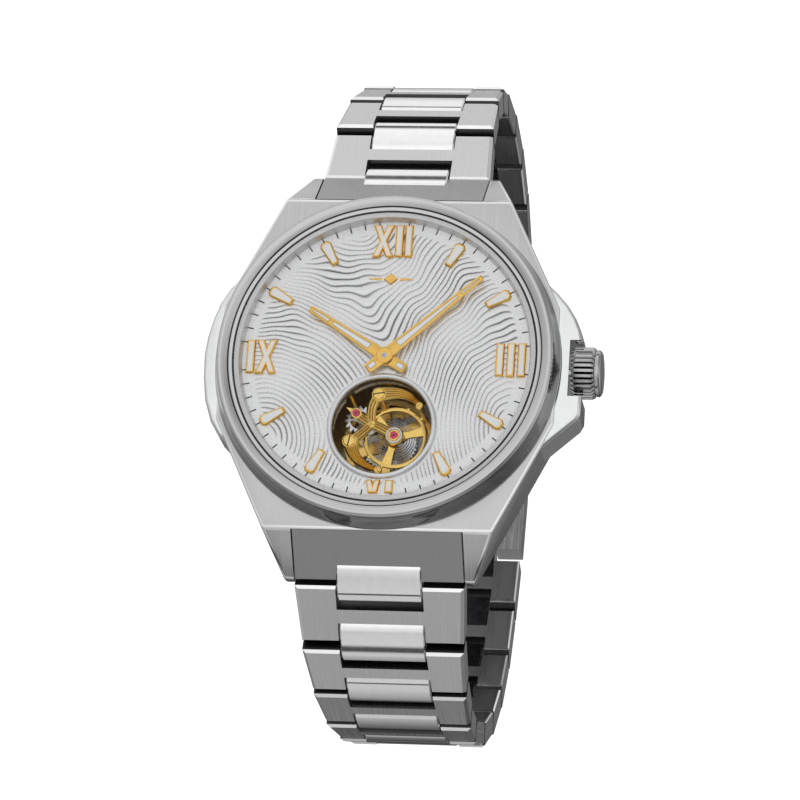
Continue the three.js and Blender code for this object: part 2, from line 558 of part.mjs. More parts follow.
// The last two links of the 6 o'clock side close the loop on the clasp's free end.
function closingSlopes([y0, z0], [y1, z1]) {
  const straight = Math.atan2(z0 - z1, y1 - y0) / RAD;
  const bend = Math.acos(Math.hypot(y1 - y0, z1 - z0) / (2 * LINK.pitch)) / RAD;
  const down = straight < 0 ? straight + 360 : straight;
  return [down - bend, down + bend];
}

function halfWidth(links) {
  return TAPER.start + (TAPER.end - TAPER.start) * Math.min(links, TAPER.links) / TAPER.links;
}

// The side profile: square outside, rounded inside about the upper pin, so that the link can fold inwards.
function sideProfile(from, to, top) {
  const shape = new THREE.Shape();
  const low = -LINK.thick / 2;
  shape.moveTo(0, low);
  shape.lineTo(to, low);
  shape.lineTo(to, top);
  shape.lineTo(from + EDGE, top);
  shape.lineTo(from, top - EDGE);
  shape.lineTo(from, 0);
  shape.absarc(0, 0, -from, Math.PI, 1.5 * Math.PI, false);
  return shape;
}

// The middle piece bridges this link's crossbar and the next pin. Its outer corners are sloped off.
function centrePiece() {
  const { from, slopeLength, slopeFrom, underCut, underFrom } = CENTRE;
  const top = LINK.thick / 2 + CENTRE.proud;
  const low = -LINK.thick / 2 + SINK;
  const end = LINK.pitch + CENTRE.beyond;
  return bar([[from, low], [end - underCut, low], [end, underFrom], [end, slopeFrom],
    [end - slopeLength, top], [from + slopeLength, top], [from, slopeFrom]], -CENTRE.half, CENTRE.half);
}

function hingePin(half, y) {
  return crossRod(PIN.r, -half + PIN.inset, half - PIN.inset, y, 0);
}

function hBody(topHalf, endHalf) {
  const to = LINK.pitch - LINK.end - LINK.gap;
  const outline = [[-topHalf, -LINK.end], [topHalf, -LINK.end], [endHalf, to], [-endHalf, to]];
  const slab = plate(outline, -LINK.thick / 2, LINK.thick / 2);
  const body = slab.intersect(bar(sideProfile(-LINK.end, to, LINK.thick / 2), -topHalf, topHalf));
  const upper = block(-LINK.inner, LINK.inner, -FAR, LINK.barFrom, -FAR, FAR);
  const lower = block(-LINK.inner, LINK.inner, LINK.barTo, FAR, -FAR, FAR);
  return cut(body, upper, lower);
}

// The hole that the pin of the link above turns in.
function pinHole(half) {
  const end = half - PIN.inset + PIN.endPlay;
  return crossRod(PIN.hole, -end, end, 0, 0);
}

function linkSolid(index, hasPin) {
  const topHalf = halfWidth(index);
  const endHalf = halfWidth(index + 1);
  const link = join(cut(hBody(topHalf, endHalf), pinHole(topHalf)), centrePiece());
  return hasPin ? join(link, hingePin(endHalf, LINK.pitch)) : link;
}

function endLinkSolid() {
  const lip = [LUG_TIP.y, LUG_TIP.z];
  const pin = [FIRST_PIN.y, FIRST_PIN.z];
  const reach = Math.hypot(lip[0] - pin[0], lip[1] - pin[1]);
  const shape = new THREE.Shape();
  shape.moveTo(END_LINK.y, END_LINK.low);
  shape.lineTo(pin[0] - reach, pin[1]);
  shape.absarc(pin[0], pin[1], reach, Math.PI, Math.atan2(lip[1] - pin[1], lip[0] - pin[0]), true);
  shape.lineTo(END_LINK.y, PLATE_Z - GAP);
  shape.closePath();
  const body = bar(shape, -END_LINK.half + GAP, END_LINK.half - GAP);
  const tongue = join(centrePiece(), hingePin(TAPER.start, LINK.pitch)).translate([0, -LINK.pitch, 0])
    .rotate([-END_LINK.tongueSlope, 0, 0]).translate([0, ...pin]);
  return join(body, tongue);
}

// Both sides of the bracelet are drawn towards +Y. The 6 o'clock side is then turned half round.
const side12 = new THREE.Group();
const side6 = new THREE.Group();
side6.rotation.z = Math.PI;
watch.add(side12, side6);

const firstPin = [FIRST_PIN.y, FIRST_PIN.z];
const pins12 = pinsAlong(firstPin, SLOPES_12);
const claspPins = pinsAlong(pins12.at(-1), SLOPES_CLASP);
const freeEnd = claspPins.at(-1);
const pinsSoFar6 = pinsAlong(firstPin, SLOPES_6);
const allSlopes6 = [...SLOPES_6, ...closingSlopes(pinsSoFar6.at(-1), [-freeEnd[0], freeEnd[1]])];
const pins6 = pinsAlong(firstPin, allSlopes6);

// The side that ends free has no pin in its last link: that is the pivot where the loop is opened.
function addLinks(prefix, slopes, pins, group, isFree) {
  slopes.forEach((slope, index) => {
    const hasPin = !isFree || index < slopes.length - 1;
    const name = `${prefix}_${String(index + 1).padStart(2, '0')}`;
    const mesh = add(name, linkSolid(index, hasPin), steel, group);
    mesh.position.set(0, ...pins[index]);
    mesh.rotation.x = -slope * RAD;
  });
}

// ---------------------------------------------------------------- folding clasp
// A strip that follows the clasp's pins, between two depths.
function stripOutline(low, high, fromEnd, toEnd) {
  const last = claspPins.length - 1;
  const at = (i, depth) => {
    const before = SLOPES_CLASP[Math.max(i - 1, 0)];
    const after = SLOPES_CLASP[Math.min(i, last - 1)];
    const slope = (before + after) / 2 * RAD;
    const shift = i === 0 ? fromEnd : i === last ? -toEnd : 0;
    return [claspPins[i][0] + Math.cos(slope) * shift + Math.sin(slope) * depth,
      claspPins[i][1] - Math.sin(slope) * shift + Math.cos(slope) * depth];
  };
  const outer = claspPins.map((_, i) => at(i, high));
  const inner = claspPins.map((_, i) => at(i, low)).reverse();
  return [...inner, ...outer];
}

const CLASP = { half: 8.45, wall: 0.9, plateLow: 0.35, blade: 4.6, hollowFrom: 2.5, trimBefore: 0.1 };
const BLADE_1 = { low: -0.75, high: 0.05, from: 2.9, to: 2.9 };
const BLADE_2 = { low: -2.6, high: -1.75, from: 2.9, to: 4.1 };

function local(solid, pin, slope) {
  return solid.rotate([-slope, 0, 0]).translate([0, ...pin]);
}

// A shell three links long. Its two ends are forked round the middle pieces of the links beside it.
function claspCover() {
  const top = LINK.thick / 2;
  const { half, hollowFrom } = CLASP;
  const shell = bar(stripOutline(-top, top, -LINK.end, 0), -half, half);
  const inside = half - CLASP.wall;
  const hollow = bar(stripOutline(-top - 1, CLASP.plateLow, hollowFrom, hollowFrom), -inside, inside);
  const forkLength = 6;
  const atStart = [block(-LINK.inner, LINK.inner, -forkLength, LINK.barFrom, -FAR, FAR), pinHole(half),
    roundedEnd(half)];
  const atEnd = [block(-LINK.inner, LINK.inner, -LINK.barFrom, forkLength, -FAR, FAR),
    block(-FAR, FAR, -CLASP.trimBefore, FAR, -FAR, FAR)];
  return cut(shell, hollow, ...atStart.map((tool) => local(tool, claspPins[0], SLOPES_CLASP[0])),
    ...atEnd.map((tool) => local(tool, claspPins.at(-1), SLOPES_CLASP.at(-1))));
}

// What is taken off the inner corner above a pin, so that the piece can turn about it.
function roundedEnd(half) {
  const shape = new THREE.Shape();
  const e = LINK.end;
  shape.moveTo(-e - 1, 0);
  shape.lineTo(-e - 1, -e - 1);
  shape.lineTo(0, -e - 1);
  shape.lineTo(0, -e);
  shape.absarc(0, 0, e, 1.5 * Math.PI, Math.PI, true);
  shape.closePath();
  return bar(shape, -half - 1, half + 1);
}

function claspBlade({ low, high, from, to }) {
  return bar(stripOutline(low, high, from, to), -CLASP.blade, CLASP.blade);
}

// The two push-buttons stand in the cover's sides, half way along it.
const BUTTON = { halfLength: 1.6, halfHeight: 0.65, depth: -0.4, out: 0.7, inside: 0.4, play: 0.1 };

function buttonRod(play, x0, x1, side) {
  const outline = new THREE.Shape();
  const { halfLength, halfHeight, depth } = BUTTON;
  outline.absellipse(0, depth, halfLength + play, halfHeight + play, 0, 2 * Math.PI, false);
  const solid = bar(outline, x0, x1);
  const middle = [(claspPins[1][0] + claspPins[2][0]) / 2, (claspPins[1][1] + claspPins[2][1]) / 2];
  return local(side < 0 ? solid.mirror([1, 0, 0]) : solid, middle, SLOPES_CLASP[1]);
}

function pushButton(side) {
  return buttonRod(0, CLASP.half - CLASP.wall - BUTTON.inside, CLASP.half + BUTTON.out, side);
}

function buttonHole(side) {
  return buttonRod(BUTTON.play, CLASP.half - CLASP.wall - 1, FAR, side);
}

// ---------------------------------------------------------------- assembly
add('mid_case', middleCase(), steel);
add('bezel', bezel(), polished);
add('crystal', crystal(), glass);
add('rehaut_ring', rehautRing(), dark);
add('dial', dial(), silver);
add('aperture_ring', apertureRing(), polished);
add('caseback_ring', casebackRing(), steel);
add('caseback_glass', casebackGlass(), glass);
add('movement_ring', movementRing(), dark);
add('crown', crown(), polished);
add('winding_stem', windingStem(), steel);
add('setting_lever', settingLever(), steel);
add('hour_hand', handSolid(HOUR_HAND, 1.15, 0.5), gold);
add('minute_hand', handSolid(MINUTE_HAND, 1.0, 0.45), gold);
add('cannon_pinion', cannonPinion(), steel);
add('hour_wheel', hourWheel(), gold);
add('mainplate', mainplate(), silver);
add('train_bridge', trainBridge(), silver);
add('barrel', barrelWheel(), gold);
add('centre_wheel', centreWheel(), gold);
add('third_wheel', thirdWheel(), gold);
add('fixed_wheel', fixedWheel(), silver);
add('cage_base', cageBase(), gold);
add('cage_bridge', cageBridge(), gold);
add('balance_wheel', balanceWheel(), gold);
add('hairspring', hairspring(), dark);
add('escape_wheel', escapeWheel(), steel);
add('pallet_fork', palletFork(), steel);
add('end_link_12', endLinkSolid(), steel, side12);
add('end_link_6', endLinkSolid(), steel, side6);
addLinks('link_12', SLOPES_12, pins12, side12, false);
addLinks('link_6', allSlopes6, pins6, side6, true);
add('clasp_cover', cut(claspCover(), buttonHole(1), buttonHole(-1)), polished, side12);
add('clasp_blade_outer', claspBlade(BLADE_1), steel, side12);
add('clasp_blade_inner', claspBlade(BLADE_2), steel, side12);
add('push_button_right', pushButton(1), polished, side12);
add('push_button_left', pushButton(-1), polished, side12);

export default watch;
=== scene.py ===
"""An automatic wristwatch with an open tourbillon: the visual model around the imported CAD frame.

Shapes are drawn in millimetres and made in metres. +Z comes out of the dial and +Y points to 12 o'clock.
"""

import json
import math

import bmesh
import bpy
import numpy as np
from mathutils import Matrix, Vector


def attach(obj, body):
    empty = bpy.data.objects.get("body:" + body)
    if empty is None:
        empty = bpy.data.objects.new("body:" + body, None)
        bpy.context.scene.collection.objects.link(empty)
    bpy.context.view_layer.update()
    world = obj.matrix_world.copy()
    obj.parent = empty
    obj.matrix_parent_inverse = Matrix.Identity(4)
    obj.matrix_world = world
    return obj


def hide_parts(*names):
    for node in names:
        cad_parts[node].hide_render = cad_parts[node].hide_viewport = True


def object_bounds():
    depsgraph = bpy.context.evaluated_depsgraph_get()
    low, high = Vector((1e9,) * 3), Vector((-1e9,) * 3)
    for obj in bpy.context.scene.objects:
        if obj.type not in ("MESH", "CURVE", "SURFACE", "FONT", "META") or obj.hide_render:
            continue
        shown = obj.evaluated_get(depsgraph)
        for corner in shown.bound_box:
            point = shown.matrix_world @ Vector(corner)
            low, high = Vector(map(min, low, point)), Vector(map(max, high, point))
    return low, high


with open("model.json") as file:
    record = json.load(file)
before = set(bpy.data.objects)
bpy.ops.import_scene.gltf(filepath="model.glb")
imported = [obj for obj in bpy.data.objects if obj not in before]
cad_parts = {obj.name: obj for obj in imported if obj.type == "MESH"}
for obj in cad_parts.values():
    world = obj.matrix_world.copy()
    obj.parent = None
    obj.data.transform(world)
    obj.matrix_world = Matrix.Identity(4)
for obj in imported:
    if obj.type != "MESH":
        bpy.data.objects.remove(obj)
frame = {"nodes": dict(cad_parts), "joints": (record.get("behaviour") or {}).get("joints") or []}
cad_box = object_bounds()

MM = 0.001
RAD = math.pi / 180

# ---------------------------------------------------------------- dimensions, as in the CAD part
DIAL_Z = 10.2
PLATE_Z = 8.35
CASE_BOTTOM = 1.7
LUG_TOP = (13.67, 20.67)
LUG_TIP = (25.37, 3.37)
LUG_END_X = 11.4
FLANK = (20.2, 7.2)
CAVITY_R = 18.2
END_HALF = 10.12
END_Y = 20.74
CROWN_GUARD = [(18.4, -10.5), (22.8, -6.5), (23.2, -5.7), (23.2, -3.0), (23.2, 0.0), (23.1, 3.2),
               (22.75, 4.7), (22.1, 6.2), (21.1, 7.8), (19.8, 9.3), (18.4, 10.6)]
CROWN_RECESS = (21.55, -3.6, 3.4)
FAR_GUARD = [(-18.4, 10.8), (-19.8, 9.2), (-20.8, 7.4), (-21.5, 5.4), (-22.0, 3.2), (-22.25, 1.0),
             (-22.15, -2.0), (-21.75, -4.8), (-20.9, -7.4), (-19.8, -9.2), (-18.4, -10.6)]
CAGE_AXIS = (0.1, -8.45)
FIRST_PIN = (26.2, 1.4)
PITCH = 8.15
LINK_END = 1.45
LINK_GAP = 0.5
LINK_INNER = 5.16
BAR = (1.6, 3.6)
HALF_THICK = 1.5
CENTRE_HALF = 5.07
CLASP_SLOPES = (170, 180, 190)
TONGUE_SLOPE = 38

WAVE = {"spacing": 0.54, "height": 0.04, "grid": 0.092, "edge": 16.1, "fade": 0.5}


# ---------------------------------------------------------------- camera, light and floor
AIM = Vector((1.79, -4.57, 8.37)) * MM
CAMERA = {"azimuth": 25.08, "elevation": 69.52, "roll": -22.65, "distance": 0.5697, "lens": 217.2}


def add_object(name, data):
    obj = bpy.data.objects.new(name, data)
    bpy.context.scene.collection.objects.link(obj)
    return obj


def make_camera():
    data = bpy.data.cameras.new("camera")
    data.sensor_width = 36
    data.lens = CAMERA["lens"]
    data.clip_start = 0.05
    data.clip_end = 100
    camera = add_object("camera", data)
    turn = CAMERA["azimuth"] * RAD
    rise = CAMERA["elevation"] * RAD
    roll = CAMERA["roll"] * RAD
    back = Vector((math.sin(turn) * math.cos(rise), -math.cos(turn) * math.cos(rise), math.sin(rise)))
    level = Vector((math.cos(turn), math.sin(turn), 0))
    upright = back.cross(level)
    right = level * math.cos(roll) + upright * math.sin(roll)
    up = back.cross(right)
    matrix = Matrix((right, up, back)).transposed().to_4x4()
    matrix.translation = AIM + back * CAMERA["distance"]
    camera.matrix_world = matrix
    bpy.context.scene.camera = camera


make_camera()


class Nodes:
    """A short way to write a node tree."""

    def __init__(self, tree):
        self.tree = tree

    def add(self, kind, settings=(), **inputs):
        node = self.tree.nodes.new(kind)
        for key, value in dict(settings).items():
            setattr(node, key, value)
        for key, value in inputs.items():
            self.put(node.inputs[key.replace("_", " ")], value)
        return node

    def put(self, socket, value):
        if isinstance(value, bpy.types.NodeSocket):
            self.tree.links.new(value, socket)
        else:
            socket.default_value = value

    def math(self, operation, first, second=0.0):
        node = self.add("ShaderNodeMath", {"operation": operation})
        self.put(node.inputs[0], first)
        self.put(node.inputs[1], second)
        return node.outputs[0]

    def ramp(self, value, stops):
        node = self.add("ShaderNodeValToRGB", Fac=value)
        elements = node.color_ramp.elements
        while len(elements) < len(stops):
            elements.new(0.5)
        for element, (place, tone) in zip(elements, stops):
            element.position = place
            element.color = tone if len(tone) == 4 else (*tone, 1)
        return node.outputs["Color"]

    def multiply(self, factor, first, second):
        node = self.add("ShaderNodeMix", {"data_type": "RGBA", "blend_type": "MULTIPLY"})
        for socket, value in (("Factor", factor), ("A", first), ("B", second)):
            self.put(node.inputs[socket], value)
        return node.outputs["Result"]


def grey(tone):
    return (tone, tone, tone, 1)


def make_world():
    """A soft studio: bright above, dark straight below, with a dark band about the horizon and grey panels."""
    world = bpy.data.worlds.new("studio")
    bpy.context.scene.world = world
    world.use_nodes = True
    tree = world.node_tree
    tree.nodes.clear()
    nodes = Nodes(tree)
    direction = nodes.add("ShaderNodeTexCoord").outputs["Generated"]
    parts = nodes.add("ShaderNodeSeparateXYZ", Vector=direction)
    height = nodes.math("MULTIPLY_ADD", parts.outputs["Z"], 0.5)
    height.node.inputs[2].default_value = 0.5
    bearing = nodes.math("ARCTAN2", parts.outputs["Y"], parts.outputs["X"])
    turn = nodes.math("MULTIPLY_ADD", bearing, 1 / (2 * math.pi))
    turn.node.inputs[2].default_value = 0.5
    # Heights run from 0 straight down, through 0.5 at the horizon, to 1 straight up.
    level = nodes.ramp(height, [(0.0, grey(0.15)), (0.07, grey(0.32)), (0.16, grey(0.6)), (0.3, grey(0.9)),
                                (0.44, grey(0.9)), (0.47, grey(0.1)), (0.53, grey(0.1)), (0.57, grey(1.0)),
                                (0.8, grey(0.9)), (0.92, grey(0.85)), (0.97, grey(1.0)), (1.0, grey(1.0))])
    # Bearings run from 0 at -X, through 0.25 at -Y, 0.5 at +X and 0.75 at +Y, to 1 at -X again.
    panels = nodes.ramp(turn, [(0.0, grey(0.6)), (0.1, grey(0.35)), (0.18, grey(0.55)), (0.27, grey(0.68)),
                               (0.4, grey(0.25)), (0.5, grey(0.9)), (0.62, grey(0.45)), (0.72, grey(0.95)),
                               (0.86, grey(1.0)), (1.0, grey(0.6))])
    upness = nodes.ramp(height, [(0.0, grey(1)), (0.8, grey(1)), (0.96, grey(0)), (1.0, grey(0))])
    background = nodes.add("ShaderNodeBackground", Color=nodes.multiply(upness, level, panels), Strength=1.0)
    output = nodes.add("ShaderNodeOutputWorld")
    tree.links.new(background.outputs[0], output.inputs["Surface"])


def area_light(name, place, size, power):
    """A soft round light. It lights the watch without being seen or mirrored."""
    data = bpy.data.lights.new(name, "AREA")
    data.shape = "DISK"
    data.size = size
    data.energy = power
    light = add_object(name, data)
    light.location = place
    light.rotation_euler = (AIM - Vector(place)).to_track_quat("-Z", "Y").to_euler()
    light.visible_camera = False
    light.visible_glossy = False


FLOOR_HALF = 30.0       # metres
FLOOR_GAP = 0.0002      # metres, so that the floor lies just under the watch


def make_floor():
    """A plain pale floor. A view from low down still shows the dark band above its far edge."""
    size = FLOOR_HALF
    mesh = bpy.data.meshes.new("floor")
    low = cad_box[0].z - FLOOR_GAP
    mesh.from_pydata([(-size, -size, low), (size, -size, low), (size, size, low), (-size, size, low)], [],
                     [(0, 1, 2, 3)])
    floor = add_object("floor", mesh)
    material = bpy.data.materials.new("pale_floor")
    material.use_nodes = True
    shader = material.node_tree.nodes["Principled BSDF"]
    shader.inputs["Base Color"].default_value = grey(0.3)
    shader.inputs["Roughness"].default_value = 0.9
    shader.inputs["Emission Color"].default_value = grey(1.0)
    shader.inputs["Emission Strength"].default_value = 1.0
    mesh.materials.append(material)
    floor.visible_glossy = False


make_world()
area_light("key", (-0.4, 0.5, 0.5), 0.45, 0.8)
area_light("fill", (0.5, -0.3, 0.5), 0.6, 0.5)
make_floor()
bpy.context.scene.view_settings.view_transform = "Standard"


# ---------------------------------------------------------------- materials
def new_material(name):
    material = bpy.data.materials.new(name)
    material.use_nodes = True
    return material, Nodes(material.node_tree), material.node_tree.nodes["Principled BSDF"].inputs


def set_surface(nodes, inputs, colour, roughness, metallic=0.0, relief=None):
    """Sets a material's main values. The relief is a strength, a depth in metres and a height."""
    nodes.put(inputs["Base Color"], colour)
    nodes.put(inputs["Roughness"], roughness)
    inputs["Metallic"].default_value = metallic
    if relief:
        strength, depth, height = relief
        bump = nodes.add("ShaderNodeBump", Strength=strength, Distance=depth, Height=height)
        nodes.put(inputs["Normal"], bump.outputs[0])


def object_place(nodes):
    return nodes.add("ShaderNodeTexCoord").outputs["Object"]


def stretched_noise(nodes, stretch, detail=3.0):
    mapping = nodes.add("ShaderNodeMapping", Vector=object_place(nodes), Scale=stretch)
    noise = nodes.add("ShaderNodeTexNoise", Vector=mapping.outputs[0], Scale=1.0, Detail=detail,
                      Roughness=0.6)
    return noise.outputs["Fac"]


def span(nodes, value, low, high):
    """A number from low to high, as a noise value runs over its usual range."""
    node = nodes.add("ShaderNodeMapRange", Value=value, From_Min=0.3, From_Max=0.7, To_Min=low, To_Max=high)
    return node.outputs["Result"]


def tint(nodes, value, dark, light):
    return nodes.ramp(value, [(0.3, dark), (0.7, light)])


def times(colour, factor):
    return [min(c * factor, 1.0) for c in colour]


ALONG = 90.0            # how often a brushed line changes along its length, per metre
ACROSS = 8000.0         # and across it
FINE_RELIEF = 0.00002
PLATE_RELIEF = 0.00004


def brushed(name, across, tone=0.6, roughness=0.3, warm=(1.0, 1.0, 1.0)):
    """Metal with fine straight lines that follow each other along one axis of the piece."""
    material, nodes, inputs = new_material(name)
    stretch = [ALONG] * 3
    stretch["xyz".index(across)] = ACROSS
    lines = stretched_noise(nodes, stretch, detail=4.0)
    dark = [tone * 0.9 * c for c in warm]
    light = [min(tone * 1.08 * c, 1.0) for c in warm]
    set_surface(nodes, inputs, tint(nodes, lines, dark, light),
                span(nodes, lines, roughness - 0.07, roughness + 0.1), 1.0, (0.12, FINE_RELIEF, lines))
    return material


def polished(name, colour, roughness=0.07, mottling=0.03, grain=900.0):
    """Smooth metal, with faint wear in its gloss."""
    material, nodes, inputs = new_material(name)
    wear = stretched_noise(nodes, [grain] * 3, detail=4.0)
    set_surface(nodes, inputs, tint(nodes, wear, times(colour, 1 - mottling), times(colour, 1 + mottling)),
                span(nodes, wear, roughness * 0.8, roughness * 1.3), 1.0)
    return material


def circular(name, tone, roughness, spacing=0.16, depth=0.3):
    """Metal turned on a lathe: fine rings about the piece's Z axis."""
    material, nodes, inputs = new_material(name)
    parts = nodes.add("ShaderNodeSeparateXYZ", Vector=object_place(nodes))
    squares = [nodes.math("MULTIPLY", parts.outputs[a], parts.outputs[a]) for a in ("X", "Y")]
    radius = nodes.math("SQRT", nodes.math("ADD", *squares))
    along = nodes.math("MULTIPLY", radius, 1 / (spacing * MM))
    noise = nodes.add("ShaderNodeTexNoise", {"noise_dimensions": "1D"}, W=along, Detail=3.0, Roughness=0.7)
    lines = noise.outputs["Fac"]
    set_surface(nodes, inputs, tint(nodes, lines, [tone * 0.75] * 3, [min(tone * 1.15, 1)] * 3),
                span(nodes, lines, roughness - 0.06, roughness + 0.08), 1.0, (depth, FINE_RELIEF, lines))
    return material


def striped(name, colour, width=1.6):
    """A movement plate: broad soft stripes, each with fine lines."""
    material, nodes, inputs = new_material(name)
    turned = nodes.add("ShaderNodeMapping", Vector=object_place(nodes), Rotation=(0, 0, 30 * RAD))
    wave = nodes.add("ShaderNodeTexWave", {"wave_profile": "SAW"}, Vector=turned.outputs[0],
                     Scale=1 / (width * MM) / 6.28, Distortion=0.0)
    fine = stretched_noise(nodes, (4000, 400, 4000))
    both = nodes.math("ADD", nodes.math("MULTIPLY", wave.outputs["Fac"], 0.35),
                      nodes.math("MULTIPLY", fine, 0.65))
    set_surface(nodes, inputs, nodes.ramp(both, [(0.25, times(colour, 0.7)), (0.6, colour)]),
                span(nodes, fine, 0.22, 0.36), 0.35, (0.25, PLATE_RELIEF, both))
    return material


def enamel(name, colour, roughness=0.45):
    """A painted or luminous filling: matt, faintly granular."""
    material, nodes, inputs = new_material(name)
    noise = stretched_noise(nodes, [5000.0] * 3, detail=2.0)
    set_surface(nodes, inputs, tint(nodes, noise, times(colour, 0.96), colour),
                span(nodes, noise, roughness - 0.05, roughness + 0.05), relief=(0.08, FINE_RELIEF, noise))
    return material


def dial_silver():
    """Silvered metal with painted shade down in the engraved lines, which its height tells apart."""
    material, nodes, inputs = new_material("dial_silver")
    noise = stretched_noise(nodes, [3500] * 3)
    height = nodes.add("ShaderNodeSeparateXYZ", Vector=object_place(nodes)).outputs["Z"]
    low, high = (DIAL_Z - WAVE["height"]) * MM, (DIAL_Z + WAVE["height"]) * MM
    depth = nodes.add("ShaderNodeMapRange", Value=height, From_Min=low, From_Max=high).outputs["Result"]
    groove_painted_shade = nodes.ramp(depth, [(0.0, (0.16, 0.165, 0.17)), (0.16, (0.45, 0.455, 0.46)),
                                (0.36, (0.9, 0.905, 0.91)), (1.0, (0.97, 0.975, 0.98))])
    set_surface(nodes, inputs, nodes.multiply(0.05, groove_painted_shade, noise), span(nodes, noise, 0.24, 0.34), 0.55)
    return material


def clear(name, alpha, roughness=0.03):
    material, nodes, inputs = new_material(name)
    noise = stretched_noise(nodes, [300] * 3)
    set_surface(nodes, inputs, tint(nodes, noise, (0.015, 0.016, 0.017), (0.02, 0.021, 0.022)),
                span(nodes, noise, roughness * 0.7, roughness * 1.4))
    inputs["Alpha"].default_value = alpha
    return material


def jewel(name, colour):
    material, nodes, inputs = new_material(name)
    noise = stretched_noise(nodes, [2500] * 3)
    set_surface(nodes, inputs, tint(nodes, noise, times(colour, 0.55), colour),
                span(nodes, noise, 0.05, 0.12))
    inputs["Coat Weight"].default_value = 1.0
    return material


STEEL = (0.82, 0.825, 0.83)
GOLD = (0.93, 0.58, 0.15)
BRUSHED_Y = brushed("steel_brushed_lengthways", "x")
# The end links' copy of the brushed steel is darker: painted shade.
END_LINK_SHADED_STEEL = brushed("steel_end_links_painted_shade", "x", tone=0.4)
BRUSHED_LINK = brushed("steel_brushed_links", "x", tone=0.7)
BRUSHED_SIDE = brushed("steel_brushed_side", "z")
# The links' underside copy of the brushed steel is darker: painted shade.
UNDERSIDE_PAINTED_SHADE = brushed("steel_under_painted_shade", "x", tone=0.22, roughness=0.35)
# A near-black copy of the brushed steel for the links' ends and the faces in their gaps: painted shade.
ENDS_PAINTED_SHADE = brushed("steel_ends_painted_shade", "x", tone=0.07, roughness=0.35)
POLISHED = polished("steel_polished", STEEL)
EDGE_POLISHED = polished("steel_polished_edge", (0.95, 0.95, 0.95), roughness=0.12)
CROWN_STEEL = polished("steel_crown", (0.5, 0.5, 0.505), roughness=0.12)
LINK_POLISHED = polished("steel_polished_links", (0.97, 0.97, 0.97), roughness=0.1)
SHADED = polished("steel_shaded", (0.06, 0.06, 0.065), roughness=0.2)
BEZEL_TURNED = circular("steel_turned", 0.62, 0.1, spacing=0.3, depth=0.05)
# The bezel's flank copy of the turned steel is darker: painted shade.
BEZEL_FLANK_SHADE = circular("steel_turned_flank_painted_shade", 0.3, 0.12, spacing=0.3, depth=0.05)
REHAUT_TURNED = circular("rehaut_turned", 0.8, 0.42, spacing=0.12, depth=0.4)
BACK_TURNED = circular("caseback_turned", 0.65, 0.28)
GOLD_POLISHED = polished("gold_polished", GOLD, roughness=0.16, mottling=0.06)
GILT = polished("gilt_brass", (1.0, 0.66, 0.19), roughness=0.16, mottling=0.1, grain=2500.0)
GILT_SHADOW = polished("gilt_shadow", (0.3, 0.16, 0.04), roughness=0.3)
GILT_GRAINED = brushed("gilt_grained", "y", tone=1.0, roughness=0.22, warm=(1.0, 0.64, 0.2))
RHODIUM = striped("rhodium_striped", (0.9, 0.905, 0.91))
RHODIUM_PLAIN = polished("rhodium_plain", (0.85, 0.86, 0.87), roughness=0.24, mottling=0.12)
MOVEMENT_STEEL = polished("movement_steel", (0.7, 0.71, 0.73), roughness=0.18, mottling=0.1, grain=3000.0)
# Near-black brushed steel, painted shade inside the movement ring and the dial's opening.
RING_PAINTED_SHADE = brushed("dark_ring", "z", tone=0.1, roughness=0.4)
DIAL_SILVER = dial_silver()
LUME = enamel("luminous_white", (0.93, 0.95, 0.95))
# Black ink for the printed minute marks, also used as painted shade in screw slots and jewel holes.
INK_AND_SHADE = enamel("black_ink_and_painted_shade", (0.012, 0.012, 0.013), roughness=0.4)
OUTLINE = enamel("grey_outline", (0.28, 0.28, 0.27), roughness=0.5)
RUBY = jewel("ruby", (0.85, 0.03, 0.16))
CRYSTAL = clear("sapphire_clear", 0.05)
CRYSTAL_EDGE = clear("sapphire_edge", 0.12, roughness=0.1)
BACK_GLASS = clear("back_glass", 0.12)
FRAME_SATIN = polished("frame_satin", (0.8, 0.81, 0.82), roughness=0.25)
BLUED = polished("hairspring_steel", (0.25, 0.27, 0.33), roughness=0.25)


# ---------------------------------------------------------------- mesh building
def mesh_from(bm, name):
    bmesh.ops.recalc_face_normals(bm, faces=bm.faces)
    mesh = bpy.data.meshes.new(name)
    bm.to_mesh(mesh)
    bm.free()
    return mesh


def piece(name, bm, materials, body, replaces=(), sharp=32, matrix=None):
    """Turns a bmesh drawn in millimetres into a piece of the watch."""
    bmesh.ops.scale(bm, vec=(MM, MM, MM), verts=bm.verts)
    mesh = mesh_from(bm, name)
    dress(name, mesh, materials, body, replaces, sharp, matrix)


def dress(name, mesh, materials, body, replaces=(), sharp=32, matrix=None):
    """Makes a mesh in metres a piece: its materials, the body it rides and the nodes it replaces."""
    for material in materials:
        mesh.materials.append(material)
    mesh.shade_smooth()
    mesh.set_sharp_from_angle(angle=sharp * RAD)
    obj = add_object(name, mesh)
    if matrix is not None:
        obj.matrix_world = matrix
    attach(obj, body)
    if replaces:
        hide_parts(*replaces)


def stack(bm, rings, material=0, closed=False):
    """Joins rings of points into a solid. The first and last rings are capped unless it closes on itself."""
    loops = [[bm.verts.new(p) for p in ring] for ring in rings]
    count = len(loops[0])
    pairs = list(zip(loops, loops[1:]))
    if closed:
        pairs.append((loops[-1], loops[0]))
    faces = []
    for low, high in pairs:
        for i in range(count):
            j = (i + 1) % count
            faces.append(bm.faces.new((low[i], low[j], high[j], high[i])))
    if not closed:
        faces.append(bm.faces.new(loops[0][::-1]))
        faces.append(bm.faces.new(loops[-1]))
    for face in faces:
        face.material_index = material
    return faces


def flat(outline, z):
    return [(x, y, z) for x, y in outline]


